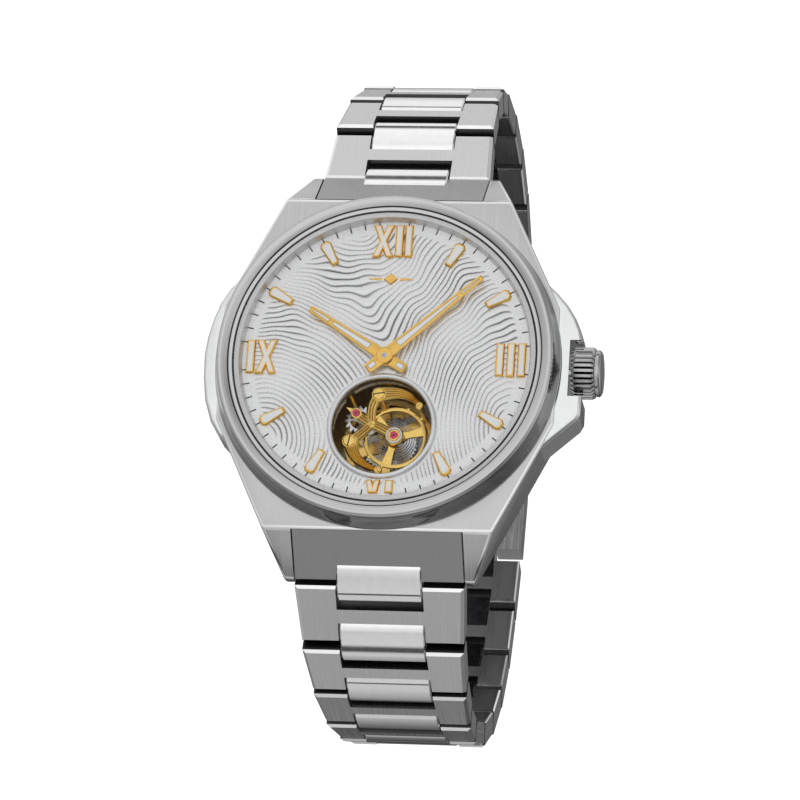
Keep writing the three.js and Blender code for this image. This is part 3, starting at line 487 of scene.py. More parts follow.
def shrink(outline, by):
    """Moves each edge of an anticlockwise outline inwards, by one distance or by one for each edge."""
    count = len(outline)
    distances = by if isinstance(by, (list, tuple)) else [by] * count
    lines = []
    for i in range(count):
        a = Vector(outline[i])
        b = Vector(outline[(i + 1) % count])
        along = (b - a).normalized()
        inward = Vector((-along.y, along.x))
        lines.append((a + inward * distances[i], along))
    corners = []
    for i in range(count):
        p, u = lines[i - 1]
        q, v = lines[i]
        cross = u.x * v.y - u.y * v.x
        if abs(cross) < 1e-9:
            corners.append(tuple(q))
            continue
        t = ((q - p).x * v.y - (q - p).y * v.x) / cross
        corners.append(tuple(p + u * t))
    return corners


def prism(bm, outline, z0, z1, edge=0.0, material=0):
    """An outline raised from z0 to z1, with its top edges chamfered."""
    rings = [flat(outline, z0), flat(outline, z1 - edge)]
    if edge:
        rings.append(flat(shrink(outline, edge), z1))
    stack(bm, rings, material)


def rectangle(x0, x1, y0, y1):
    return [(x0, y0), (x1, y0), (x1, y1), (x0, y1)]


def circle(r, count=48, x=0.0, y=0.0):
    return [(x + r * math.cos(2 * math.pi * i / count), y + r * math.sin(2 * math.pi * i / count))
            for i in range(count)]


def disc(bm, r, z0, z1, x=0.0, y=0.0, edge=0.0, count=48, material=0):
    prism(bm, circle(r, count, x, y), z0, z1, edge, material)


def lathe(bm, profile, x=0.0, y=0.0, count=192):
    """A closed profile of radius and height, turned about Z. It can't touch the axis."""
    rings = []
    for i in range(count):
        c = math.cos(2 * math.pi * i / count)
        s = math.sin(2 * math.pi * i / count)
        rings.append([(x + r * c, y + r * s, z) for r, z in profile])
    stack(bm, rings, closed=True)


def slab(bm, profile, half, edge):
    """A profile of Y and Z drawn across X from -half to half, with its two ends chamfered."""
    ends = [(-half, edge), (edge - half, 0.0), (half - edge, 0.0), (half, edge)]
    stack(bm, [[(x, y, z) for y, z in shrink(profile, drawn_in)] for x, drawn_in in ends])


def spun(outline, degrees, x=0.0, y=0.0):
    c = math.cos(degrees * RAD)
    s = math.sin(degrees * RAD)
    return [(x + px * c - py * s, y + px * s + py * c) for px, py in outline]


def bezier(a, control, b, steps):
    points = []
    for i in range(steps + 1):
        t = i / steps
        points.append(Vector(a) * (1 - t) ** 2 + Vector(control) * 2 * t * (1 - t) + Vector(b) * t * t)
    return points


def apply_modifiers(obj):
    """Gives the object the mesh that its modifiers make."""
    graph = bpy.context.evaluated_depsgraph_get()
    mesh = bpy.data.meshes.new_from_object(obj.evaluated_get(graph))
    obj.modifiers.clear()
    return mesh


def loose(bm, name):
    """A plain object that isn't a piece: an ingredient of a cut or a join. It stays in millimetres."""
    return add_object(name, mesh_from(bm, name))


def combine(base, others):
    """Joins or cuts the base with the others, given as pairs of object and operation."""
    for other, operation in others:
        modifier = base.modifiers.new(other.name, "BOOLEAN")
        modifier.operation = operation
        modifier.solver = "EXACT"
        modifier.object = other
    bpy.context.view_layer.update()
    mesh = apply_modifiers(base)
    for obj in [base] + [other for other, _ in others]:
        bpy.data.objects.remove(obj)
    mesh.transform(Matrix.Scale(MM, 4))
    return mesh


def by_normal(mesh, choose):
    """Sets each face's material from its normal, centre and area."""
    for face in mesh.polygons:
        face.material_index = choose(face.normal, face.center, face.area)


# ---------------------------------------------------------------- case
GUARD_FOOT = (2.7, 3.2)
GUARD_FOOT_EDGE = 0.5
GUARD_SIDE_TOP = 7.5
GUARD_ROUNDING = (0.45, 0.6)
BEYOND = 30             # millimetres: past the outside of the case
FLANK_FINISH_X = 20.3
LARGE_FACE = 4e-6       # square metres


def case_middle():
    outline = [(LUG_END_X, -LUG_TIP[0]), (FLANK[0], -FLANK[1]), (FLANK[0], FLANK[1]), (LUG_END_X, LUG_TIP[0]),
               (-LUG_END_X, LUG_TIP[0]), (-FLANK[0], FLANK[1]), (-FLANK[0], -FLANK[1]),
               (-LUG_END_X, -LUG_TIP[0])]
    bm = bmesh.new()
    stack(bm, [flat(outline, CASE_BOTTOM), flat(outline, PLATE_Z)])
    for sign in (1, -1):
        normal = Vector((0, sign * (PLATE_Z - LUG_TIP[1]), LUG_TIP[0] - LUG_TOP[1]))
        geometry = list(bm.verts) + list(bm.edges) + list(bm.faces)
        made = bmesh.ops.bisect_plane(bm, geom=geometry, plane_co=(0, sign * LUG_TOP[1], PLATE_Z),
                                      plane_no=normal, clear_outer=True)
        edges = [e for e in made["geom_cut"] if isinstance(e, bmesh.types.BMEdge)]
        bmesh.ops.holes_fill(bm, edges=edges)
    bmesh.ops.recalc_face_normals(bm, faces=bm.faces)
    bmesh.ops.bevel(bm, geom=list(bm.edges), offset=0.32, segments=2, profile=0.5, affect="EDGES")
    body = loose(bm, "case_body")
    tools = []
    for name, points in (("crown_guard", CROWN_GUARD), ("far_guard", FAR_GUARD)):
        bm = bmesh.new()
        free_edges = len(points) - 1
        rings = [flat(shrink(points, [GUARD_FOOT_EDGE] * free_edges + [0]), GUARD_FOOT[0]),
                 flat(points, GUARD_FOOT[1])]
        for angle in range(0, 91, 15):
            drawn_in = GUARD_ROUNDING[0] * (1 - math.cos(angle * RAD))
            height = GUARD_SIDE_TOP + GUARD_ROUNDING[1] * math.sin(angle * RAD)
            rings.append(flat(shrink(points, [drawn_in] * free_edges + [0]), height))
        stack(bm, rings)
        tools.append((loose(bm, name), "UNION"))
    recess_x, recess_low, recess_high = CROWN_RECESS
    bm = bmesh.new()
    prism(bm, rectangle(recess_x, BEYOND, recess_low, recess_high), 0, 15)
    tools.append((loose(bm, "crown_recess"), "DIFFERENCE"))
    bm = bmesh.new()
    disc(bm, CAVITY_R, CASE_BOTTOM - 1, PLATE_Z + 1, count=128)
    tools.append((loose(bm, "cavity"), "DIFFERENCE"))
    for sign in (1, -1):
        bm = bmesh.new()
        y0, y1 = sorted((sign * (END_Y - 0.04), sign * BEYOND))
        prism(bm, rectangle(-END_HALF - 0.1, END_HALF + 0.1, y0, y1), 0, PLATE_Z + 1)
        tools.append((loose(bm, "slot"), "DIFFERENCE"))
    mesh = combine(body, tools)

    def choose(normal, centre, area):
        if abs(centre.x) / MM > FLANK_FINISH_X:
            return 2
        if normal.z > 0.99:
            return 0
        if abs(normal.y) > 0.6 and normal.z > 0.6 and area > LARGE_FACE:
            return 0
        if abs(normal.z) < 0.05 and area > LARGE_FACE:
            return 1
        return 2

    by_normal(mesh, choose)
    dress("case_middle", mesh, [BRUSHED_Y, BRUSHED_SIDE, POLISHED], "head", ["mid_case"], 28)


def bezel():
    bm = bmesh.new()
    lathe(bm, [(18.05, 8.4), (20.66, 8.4), (20.7, 8.55), (20.62, 8.9), (20.42, 9.5), (20.2, 10.7),
               (20.06, 11.45), (19.98, 11.72), (19.86, 11.87), (19.66, 11.93), (19.45, 11.9), (18.76, 11.53),
               (18.72, 11.5), (18.6, 11.4), (18.5, 11.36), (18.2, 11.35), (18.05, 11.35)])
    for face in bm.faces:
        c = face.calc_center_median()
        r = math.hypot(c.x, c.y)
        # The outer flank under the rim takes the darker copy of the turned steel: painted shade.
        if r > 19.9 and c.z < 11.5:
            face.material_index = 1
        elif 18.6 < r < 18.75 or r < 18.2:
            face.material_index = 2
    piece("bezel_turned", bm, [BEZEL_TURNED, BEZEL_FLANK_SHADE, SHADED], "head", ["bezel"], 40)


def crystal():
    bm = bmesh.new()
    lathe(bm, [(0.001, 11.4), (18.0, 11.4), (18.0, 11.95), (17.92, 12.1), (17.7, 12.22), (17.4, 12.25),
               (0.001, 12.25)], count=160)
    for face in bm.faces:
        r = math.hypot(*face.calc_center_median().xy)
        face.material_index = 1 if r > 17.5 else 0
    piece("crystal_domed", bm, [CRYSTAL, CRYSTAL_EDGE], "head", ["crystal"])


def rehaut():
    bm = bmesh.new()
    lathe(bm, [(17.15, 10.25), (17.95, 10.25), (17.95, 11.35), (17.42, 11.35), (17.36, 11.3)])
    piece("rehaut_turned", bm, [REHAUT_TURNED], "head", ["rehaut_ring"])


# ---------------------------------------------------------------- dial
TRACK_R = 17.9
HOLE_R = 5.9
CENTRE_HOLE_R = 0.95


def flow(x, y):
    """A smooth field whose level lines are the dial's engraved lines: arches about two points on its edge."""
    def distance(cx, cy, across, along, tilt):
        dx = x - cx
        dy = y - cy
        u = dx * math.cos(tilt) + dy * math.sin(tilt)
        v = -dx * math.sin(tilt) + dy * math.cos(tilt)
        return np.sqrt((u * across) ** 2 + (v * along) ** 2 + 1.0)
    blend = 2.2
    left = distance(-14.6, -10.6, 1.0, 0.95, -0.3)
    right = distance(15.4, -8.4, 1.1, 0.72, 0.1)
    field = -blend * np.log(np.exp(-left / blend) + np.exp(-right / blend))
    upper = 1 / (1 + np.exp(-(y - 2.0) / 2.0))
    field += upper * (0.42 * np.sin(0.5 * x + 0.55 * y + 0.6) + 0.14 * np.sin(1.1 * x - 0.5 * y + 1.0))
    field += 0.07 * np.sin(1.7 * x + 0.9 * y)
    return field


def wave_height(x, y):
    phase = flow(x, y) * 2 * math.pi / WAVE["spacing"]
    profile = np.sin(phase) + 0.3 * np.sin(2 * phase)
    r = np.hypot(x, y)
    to_cage = np.hypot(x - CAGE_AXIS[0], y - CAGE_AXIS[1])
    fade = np.clip((WAVE["edge"] - r) / WAVE["fade"], 0, 1) * np.clip((to_cage - 6.5) / 0.4, 0, 1)
    fade = fade * np.clip((r - 1.3) / 0.4, 0, 1)
    strength = 0.72 + 0.28 * np.sin(0.45 * x + 1.1) * np.sin(0.5 * y - 0.4)
    return WAVE["height"] * profile * fade * strength


def dial_plate():
    """A fine grid clipped to the disc. The cells on the rims are drawn on to the circles."""
    step = WAVE["grid"]
    reach = WAVE["edge"]
    count = int(reach / step) + 2
    line = np.arange(-count, count + 1) * step
    x, y = np.meshgrid(line, line, indexing="ij")
    mid = (line[:-1] + line[1:]) / 2
    mx, my = np.meshgrid(mid, mid, indexing="ij")
    inside = np.hypot(mx, my) < reach
    inside &= np.hypot(mx - CAGE_AXIS[0], my - CAGE_AXIS[1]) > HOLE_R
    inside &= np.hypot(mx, my) > CENTRE_HOLE_R
    touching = np.zeros(x.shape, int)
    for di in (0, 1):
        for dj in (0, 1):
            touching[di:di + inside.shape[0], dj:dj + inside.shape[1]] += inside
    rim = (touching > 0) & (touching < 4)
    circles = [((0, 0), reach), (CAGE_AXIS, HOLE_R), ((0, 0), CENTRE_HOLE_R)]
    gaps = np.array([np.abs(np.hypot(x - c[0], y - c[1]) - r) for c, r in circles])
    nearest = gaps.argmin(0)
    for number, (centre, r) in enumerate(circles):
        chosen = rim & (nearest == number)
        dx = x - centre[0]
        dy = y - centre[1]
        length = np.maximum(np.hypot(dx, dy), 1e-6)
        x = np.where(chosen, centre[0] + dx / length * r, x)
        y = np.where(chosen, centre[1] + dy / length * r, y)
    z = DIAL_Z + wave_height(x, y)
    used = touching > 0
    number = -np.ones(x.shape, int)
    number[used] = np.arange(used.sum())
    points = np.stack([x[used], y[used], z[used]], 1)
    i, j = np.nonzero(inside)
    quads = np.stack([number[i, j], number[i + 1, j], number[i + 1, j + 1], number[i, j + 1]], 1)
    mesh = bpy.data.meshes.new("dial_grid")
    mesh.from_pydata(points.tolist(), [], quads.tolist())
    bm = bmesh.new()
    bm.from_mesh(mesh)
    bpy.data.meshes.remove(mesh)
    outer = [e for e in bm.edges if e.is_boundary and all(v.co.xy.length > reach - 0.2 for v in e.verts)]
    grown = bmesh.ops.extrude_edge_only(bm, edges=outer)["geom"]
    for v in [g for g in grown if isinstance(g, bmesh.types.BMVert)]:
        factor = TRACK_R / v.co.xy.length
        v.co.x *= factor
        v.co.y *= factor
    rims = [e for e in bm.edges if e.is_boundary]
    grown = bmesh.ops.extrude_edge_only(bm, edges=rims)["geom"]
    for v in [g for g in grown if isinstance(g, bmesh.types.BMVert)]:
        v.co.z = DIAL_Z - 0.4
    low = [g for g in grown if isinstance(g, bmesh.types.BMEdge)]
    low = [e for e in low if all(abs(v.co.z - DIAL_Z + 0.4) < 1e-4 for v in e.verts)]
    bmesh.ops.triangle_fill(bm, edges=low, use_beauty=True)
    piece("dial_engraved", bm, [DIAL_SILVER], "head", ["dial"], 50)


MARK_END = 17.12
MARK_HALF = 0.075
MARKER_FOOT = DIAL_Z - 0.05
MARKER_SIDE = DIAL_Z + 0.2
MARKER_TOP = DIAL_Z + 0.36


def ticks():
    """The black minute marks, longer between the hours' places."""
    bm = bmesh.new()
    for minute in range(60):
        if minute in (0, 15, 30, 45):
            continue
        start = 16.6 if minute % 5 == 0 else 16.4
        outline = rectangle(start, MARK_END, -MARK_HALF, MARK_HALF)
        prism(bm, spun(outline, minute * 6), DIAL_Z - 0.02, DIAL_Z + 0.012)
    piece("minute_marks", bm, [INK_AND_SHADE], "head")


def marker(bm, outline, slope):
    """A gold marker: upright sides, then a slope drawn in to its flat top."""
    stack(bm, [flat(outline, MARKER_FOOT), flat(outline, MARKER_SIDE),
               flat(shrink(outline, slope), MARKER_TOP)])


def hour_bars():
    gold = bmesh.new()
    white = bmesh.new()
    for hour in (1, 2, 4, 5, 7, 8, 10, 11):
        outline = [(13.4, -0.45), (16.2, -0.72), (16.6, -0.4), (16.6, 0.4), (16.2, 0.72), (13.4, 0.45)]
        marker(gold, spun(outline, 90 - hour * 30), 0.14)
        filling = spun(shrink(outline, [0.21, 0.3, 0.3, 0.3, 0.21, 0.3]), 90 - hour * 30)
        prism(white, filling, MARKER_SIDE, DIAL_Z + 0.39, 0.02)
    piece("hour_bars", gold, [GOLD_POLISHED], "head", ())
    piece("hour_bar_fillings", white, [LUME], "head")


def letter_x(x0, x1, y0, y1, stroke):
    middle = (x0 + x1) / 2
    half_way = (y0 + y1) / 2
    t = (middle - x0 - stroke) / (x1 - x0 - stroke)
    rise = t * (y1 - y0)
    return [(x0, y0), (x0 + stroke, y0), (middle, y0 + rise), (x1 - stroke, y0), (x1, y0),
            (middle + stroke / 2, half_way), (x1, y1), (x1 - stroke, y1), (middle, y1 - rise),
            (x0 + stroke, y1), (x0, y1), (middle - stroke / 2, half_way)]


def numerals():
    letters = [letter_x(-2.45, 0.15, 12.6, 16.7, 0.92), rectangle(0.28, 1.24, 12.65, 16.7),
               rectangle(1.4, 2.35, 12.65, 16.7),
               rectangle(-16.6, -15.6, -2.2, 1.95), letter_x(-15.5, -12.95, -2.25, 2.0, 0.92),
               rectangle(13.15, 14.13, -2.1, 2.0), rectangle(14.45, 15.43, -2.15, 2.05),
               rectangle(15.72, 16.7, -2.15, 2.05),
               [(-0.98, -16.8), (0.12, -16.8), (0.45, -15.16), (-0.27, -15.16), (-0.43, -15.72),
                (-0.6, -15.16), (-1.3, -15.16)],
               rectangle(0.98, 1.95, -16.75, -15.16)]
    gold = bmesh.new()
    white = bmesh.new()
    for outline in letters:
        marker(gold, outline, 0.1)
        prism(white, shrink(outline, 0.235), MARKER_SIDE, DIAL_Z + 0.38)
    piece("numerals", gold, [GOLD_POLISHED], "head", ())
    piece("numeral_fillings", white, [LUME], "head")


def emblem():
    """A plain lozenge between two tapering bars."""
    bm = bmesh.new()
    y = 9.9
    prism(bm, [(-0.85, y), (0, y - 0.75), (0.85, y), (0, y + 0.75)], MARKER_FOOT, DIAL_Z + 0.18, 0.09)
    for side in (1, -1):
        outline = [(1.15, y - 0.16), (2.6, y - 0.05), (2.6, y + 0.05), (1.15, y + 0.16)]
        if side < 0:
            outline = [(-px, py) for px, py in outline][::-1]
        prism(bm, outline, MARKER_FOOT, DIAL_Z + 0.14, 0.03)
    piece("dial_lozenge", bm, [GOLD_POLISHED], "head", ())


def aperture_ring():
    bm = bmesh.new()
    lathe(bm, [(5.86, 10.25), (6.55, 10.25), (6.52, 10.36), (6.4, 10.5), (6.22, 10.58), (6.06, 10.56),
               (5.92, 10.46), (5.86, 10.34)], *CAGE_AXIS, count=128)
    piece("aperture_frame", bm, [FRAME_SATIN], "head",
          ["aperture_ring"], 60)


# ---------------------------------------------------------------- hands
HANDS = {
    "hour": {"length": 11.0, "tail": 3.0, "angle": 302.1, "z": 10.8, "root": 0.75, "tip": 0.42, "hub": 1.15,
             "panels": [(2.2, 7.6), (8.15, 10.55)]},
    "minute": {"length": 14.9, "tail": 2.65, "angle": 47.8, "z": 11.1, "root": 0.75, "tip": 0.36, "hub": 1.0,
               "panels": [(2.1, 11.2), (11.75, 14.5)]},
}


def hand(kind):
    spec = HANDS[kind]
    length, tail, z = spec["length"], spec["tail"], spec["z"]
    root, tip = spec["root"], spec["tip"]
    turn = 90 - spec["angle"]
    gold = bmesh.new()
    outline = [(-tail, -0.6), (-0.6, -root), (0.4, -root), (length, -tip), (length, tip), (0.4, root),
               (-0.6, root), (-tail, 0.6)]
    crown_line = shrink(outline, [0.2, 0.2, 0.2, 0.12, 0.2, 0.2, 0.2, 0.12])
    stack(gold, [flat(spun(outline, turn), z), flat(spun(outline, turn), z + 0.05),
                 flat(spun(crown_line, turn), z + 0.16)])
    disc(gold, spec["hub"], z + 0.02, z + 0.19, edge=0.08, count=40)
    piece(kind + "_hand_gold", gold, [GOLD_POLISHED], kind + "_hand", [kind + "_hand"])

    def half(x):
        if x < 0:
            return 0.3
        return (root + (tip - root) * x / length) * 0.92 - 0.27

    grey_line = bmesh.new()
    white = bmesh.new()
    for x0, x1 in spec["panels"] + [(-tail + 0.3, -tail + 1.25)]:
        outline = [(x0, -half(x0)), (x1, -half(x1)), (x1, half(x1)), (x0, half(x0))]
        prism(grey_line, spun(outline, turn), z + 0.1, z + 0.175)
        prism(white, spun(shrink(outline, 0.06), turn), z + 0.15, z + 0.195)
    piece(kind + "_hand_outline", grey_line, [OUTLINE], kind + "_hand")
    piece(kind + "_hand_filling", white, [LUME], kind + "_hand")


def centre_pin():
    bm = bmesh.new()
    disc(bm, 0.42, 8.95, 11.32, edge=0.1, count=32)
    disc(bm, 0.22, 11.3, 11.4, edge=0.03, count=24)
    piece("cannon_pinion_turned", bm, [MOVEMENT_STEEL], "minute_hand", ["cannon_pinion"])


# ---------------------------------------------------------------- crown
CROWN_Z = 5.85
# Along X: the place, the radius and the depth of the flutes there.
CROWN_RINGS = [(21.85, 2.6, 0), (21.85, 2.85, 0), (22.0, 2.95, 0.15), (22.2, 3.1, 0.45), (24.25, 3.1, 0.45),
               (24.5, 2.98, 0.3), (24.62, 2.8, 0.0), (24.66, 2.62, 0), (24.74, 2.62, 0), (24.78, 2.78, 0),
               (25.0, 2.8, 0), (25.2, 2.68, 0), (25.34, 2.4, 0), (25.4, 1.9, 0), (25.38, 1.0, 0)]
FLUTES = 30
STEPS_PER_FLUTE = 8


def crown():
    """A fluted barrel with a stepped cap. It is drawn about X."""
    count = FLUTES * STEPS_PER_FLUTE

    def ring(x, r, depth):
        points = []
        for i in range(count):
            angle = 2 * math.pi * i / count
            wave = abs(math.sin(angle * FLUTES / 2))
            here = r - depth * (1 - min(wave * 1.5, 1.0))
            points.append((x, here * math.cos(angle), CROWN_Z + here * math.sin(angle)))
        return points

    bm = bmesh.new()
    stack(bm, [ring(*place) for place in CROWN_RINGS])
    for face in bm.faces:
        c = face.calc_center_median()
        sunk = 22.1 < c.x < 24.4 and math.hypot(c.y, c.z - CROWN_Z) < 2.93
        face.material_index = 1 if sunk else 0
    piece("crown_fluted", bm, [CROWN_STEEL, SHADED], "crown", ["crown"], 40)


# ---------------------------------------------------------------- caseback
SCREW_CIRCLE_R = 14.6


def caseback():
    bm = bmesh.new()
    lathe(bm, [(12.06, 0.12), (12.2, 0), (16.6, 0), (16.75, 0.04), (18.55, 0.86), (18.6, 0.95), (18.6, 1.65),
               (11.26, 1.65), (11.26, 1.15), (12.06, 1.15)], count=160)
    piece("caseback_turned", bm, [BACK_TURNED], "head", ["caseback_ring"], 25)
    bm = bmesh.new()
    for number in range(8):
        angle = (number + 0.5) * 45
        x = SCREW_CIRCLE_R * math.cos(angle * RAD)
        y = SCREW_CIRCLE_R * math.sin(angle * RAD)
        disc(bm, 0.75, -0.001, 0.25, x, y, count=28)
        # Each screw's slot is a black inlay: painted shade.
        outline = spun(rectangle(-0.75, 0.75, -0.11, 0.11), angle + 20, x, y)
        prism(bm, outline, -0.012, 0.2, material=1)
    piece("caseback_screws", bm, [MOVEMENT_STEEL, INK_AND_SHADE], "head")
    bm = bmesh.new()
    disc(bm, 12.0, 0, 1.1, count=96)
    piece("caseback_window", bm, [BACK_GLASS], "head", ["caseback_glass"])


# ---------------------------------------------------------------- bracelet
LOWER_HALF = 8.45
TAPERED_LINKS = 4


def half_width(index):
    """Half the bracelet's width at the upper end of a link, counted from the case."""
    return END_HALF + (LOWER_HALF - END_HALF) * min(index, TAPERED_LINKS) / TAPERED_LINKS


def link_matrix(pin, slope, side):
    matrix = Matrix.Translation((0, pin[0] * MM, pin[1] * MM)) @ Matrix.Rotation(-slope * RAD, 4, "X")
    if side == 6:
        matrix = Matrix.Rotation(math.pi, 4, "Z") @ matrix
    return matrix


LINK_STEEL = [BRUSHED_LINK, BRUSHED_SIDE, EDGE_POLISHED, ENDS_PAINTED_SHADE, UNDERSIDE_PAINTED_SHADE]


def h_link(name, index, matrix, body, replaces):
    """Two arms and a crossbar in one piece, rounded inside its upper end."""
    top, end = half_width(index), half_width(index + 1)
    to = PITCH - LINK_END - LINK_GAP
    inner = LINK_INNER
    outline = [(-top, -LINK_END), (-inner, -LINK_END), (-inner, BAR[0]), (inner, BAR[0]), (inner, -LINK_END),
               (top, -LINK_END), (end, to), (inner, to), (inner, BAR[1]), (-inner, BAR[1]), (-inner, to),
               (-end, to)]
    small = 0.05

    def chamfers(side, upper, lower):
        return [upper, small, small, small, upper, side, lower, small, small, small, lower, side]

    bm = bmesh.new()
    rings = [flat(shrink(outline, chamfers(0.2, LINK_END, 0.2)), -HALF_THICK)]
    for angle in (75, 60, 45, 30, 15, 0):
        back = LINK_END * (1 - math.cos(angle * RAD))
        edge = [0.0] * 12
        edge[0] = edge[4] = back
        rings.append(flat(shrink(outline, edge), -LINK_END * math.sin(angle * RAD)))
    rings.append(flat(outline, HALF_THICK - 0.34))
    rings.append(flat(shrink(outline, chamfers(0.4, 0.3, 0.25)), HALF_THICK))
    stack(bm, rings)
    bmesh.ops.recalc_face_normals(bm, faces=bm.faces)
    for face in bm.faces:
        n = face.normal
        c = face.calc_center_median()
        if n.z > 0.99:
            face.material_index = 0
        elif 0.2 < n.z < 0.99 and c.z > 1.0:
            face.material_index = 2
        elif abs(n.x) > 0.9:
            face.material_index = 1
        # The underside takes the dark copy of the brushed steel: painted shade.
        elif n.z < -0.99:
            face.material_index = 4
        elif n.z < -0.3 and c.z < -1.35:
            face.material_index = 2
        # The ends and the faces in the gaps are near-black steel: painted shade.
        else:
            face.material_index = 3
    piece(name, bm, LINK_STEEL, body, replaces, 20, matrix)


def centre_link(name, matrix, body, offset=0.0):
    """The polished middle piece, slightly crowned, with sloping ends."""
    start = 3.68
    end = PITCH + 0.85
    profile = [(start, -1.35), (end - 0.5, -1.35), (end, -0.6), (end, 0.9)]
    crest = 8
    slope_to, slope_from = end - 0.85, start + 0.75
    for i in range(crest + 1):
        t = i / crest
        profile.append((slope_to + (slope_from - slope_to) * t, 1.4 + 0.2 * math.sin(math.pi * t) ** 0.8))
    profile.append((start, 0.9))
    profile = [(y + offset, z) for y, z in profile]
    bm = bmesh.new()
    slab(bm, profile, CENTRE_HALF, 0.16)
    bmesh.ops.recalc_face_normals(bm, faces=bm.faces)
    for face in bm.faces:
        upright = abs(face.normal.y) > 0.8 and face.normal.z < 0.3
        face.material_index = 1 if upright or face.normal.z < -0.5 else 0
    piece(name, bm, [LINK_POLISHED, SHADED], body, (), 25, matrix)


def hinge_pins(joints):
    """Each link's hinge in the bracelet's own drawing plane, by the body that it carries."""
    places = {}
    for joint in joints:
        if joint["type"] == "hinge" and "pos_m" in joint:
            x, y, z = joint["pos_m"]
            places[joint["child"]] = (abs(y) / MM if "link_6" in joint["child"] else y / MM, z / MM)
    return places


def slope_between(a, b):
    return math.atan2(a[1] - b[1], b[0] - a[0]) / RAD


def end_link(side):
    node = f"end_link_{side}"
    reach = math.hypot(LUG_TIP[0] - FIRST_PIN[0], LUG_TIP[1] - FIRST_PIN[1])
    to = math.atan2(LUG_TIP[1] - FIRST_PIN[1], LUG_TIP[0] - FIRST_PIN[0])
    profile = [(END_Y, 2.0)]
    steps = 10
    for i in range(steps + 1):
        angle = math.pi + (to - math.pi) * i / steps
        profile.append((FIRST_PIN[0] + reach * math.cos(angle), FIRST_PIN[1] + reach * math.sin(angle)))
    profile.append((END_Y, PLATE_Z - 0.06))
    turn = Matrix.Rotation(math.pi, 4, "Z") if side == 6 else Matrix.Identity(4)
    bm = bmesh.new()
    slab(bm, profile, END_HALF - 0.03, 0.07)
    # The end link takes the darker copy of the brushed steel, painted shade.
    piece(f"end_link_body_{side}", bm, [END_LINK_SHADED_STEEL], "head", [node], 20, turn)
    matrix = link_matrix(FIRST_PIN, TONGUE_SLOPE, side)
    centre_link(f"end_link_centre_{side}", matrix, "head", offset=-PITCH)


def bracelet():
    pins = hinge_pins(frame["joints"])
    clasp = [pins["clasp_cover"]]
    for slope in CLASP_SLOPES:
        y, z = clasp[-1]
        clasp.append((y + PITCH * math.cos(slope * RAD), z - PITCH * math.sin(slope * RAD)))
    free_end = (-clasp[-1][0], clasp[-1][1])
    for side, last in ((12, clasp[0]), (6, free_end)):
        end_link(side)
        places = [pins[f"link_{side}_{n:02d}"] for n in range(1, 11)] + [last]
        for index in range(10):
            node = f"link_{side}_{index + 1:02d}"
            matrix = link_matrix(places[index], slope_between(places[index], places[index + 1]), side)
            h_link(f"h_{node}", index, matrix, node, [node])
            centre_link(f"centre_{node}", matrix, node)
    return clasp


CLASP_STRIPS = [(4.2, 7.9), (0.9, 7.3), (0.6, 4.2)]
STRIP_HALF = 4.9


def clasp_trim(clasp):
    """Three polished strips along the clasp cover, in line with the middle links."""
    for number, (start, end) in enumerate(CLASP_STRIPS):
        matrix = link_matrix(clasp[number], CLASP_SLOPES[number], 12)
        bm = bmesh.new()
        prism(bm, rectangle(-STRIP_HALF, STRIP_HALF, start, end), 1.2, 1.62, 0.12)
        piece(f"clasp_strip_{number + 1}", bm, [POLISHED], "clasp_cover", (), 30, matrix)


# ---------------------------------------------------------------- tourbillon
def polar(r, degrees):
    return (r * math.cos(degrees * RAD), r * math.sin(degrees * RAD))


PILLARS = [polar(5.1, 35), polar(4.3, 99.4), polar(4.2, 202.8), polar(5.15, 267)]
ESCAPE_OFFSET = (-3.25, 1.83)
BALANCE_OFFSET = (1.43, -0.87)
CAGE_TOP = (8.95, 9.3)
ARM_STEPS = 18
STEPS_PER_RIDGE = 6


def at_cage(point):
    return (point[0] + CAGE_AXIS[0], point[1] + CAGE_AXIS[1])


def fluted_arm(bm, start, control, end, half_from, half_to, z0, z1, ridges=3):
    """A curved arm that narrows, with lengthways flutes on its crest."""
    points = bezier(at_cage(start), at_cage(control), at_cage(end), ARM_STEPS)
    rings = []
    for i, point in enumerate(points):
        before = points[max(i - 1, 0)]
        after = points[min(i + 1, ARM_STEPS)]
        along = (after - before).normalized()
        side = Vector((-along.y, along.x))
        half = half_from + (half_to - half_from) * i / ARM_STEPS
        ring = [(-1.0, z0), (1.0, z0), (1.0, z1 - 0.12)]
        count = ridges * STEPS_PER_RIDGE
        for k in range(count + 1):
            u = 0.92 - 1.84 * k / count
            swell = 0.5 - 0.5 * math.cos(2 * math.pi * k / STEPS_PER_RIDGE)
            ring.append((u, z1 - 0.1 + 0.12 * swell + 0.06 * (1 - u * u)))
        ring.append((-1.0, z1 - 0.12))
        rings.append([(point.x + side.x * u * half, point.y + side.y * u * half, z) for u, z in ring])
    first_crest_point = 3
    for number, face in enumerate(stack(bm, rings)[:-2]):
        place = number % len(rings[0]) - first_crest_point
        if 0 <= place < count and place % STEPS_PER_RIDGE in (0, STEPS_PER_RIDGE - 1):
            face.material_index = 1


def screw(bm, x, y, z, r, angle, height):
    """A domed screw head, with its slot as a dark inlay that paints the shade in the slot."""
    rings = [flat(circle(r, 28, x, y), z), flat(circle(r, 28, x, y), z + height * 0.6),
             flat(circle(r * 0.88, 28, x, y), z + height * 0.88), flat(circle(r * 0.6, 28, x, y), z + height)]
    stack(bm, rings)
    outline = rectangle(-r * 0.95, r * 0.95, -r * 0.1, r * 0.1)
    prism(bm, spun(outline, angle, x, y), z + height * 0.5, z + height + 0.015, material=1)


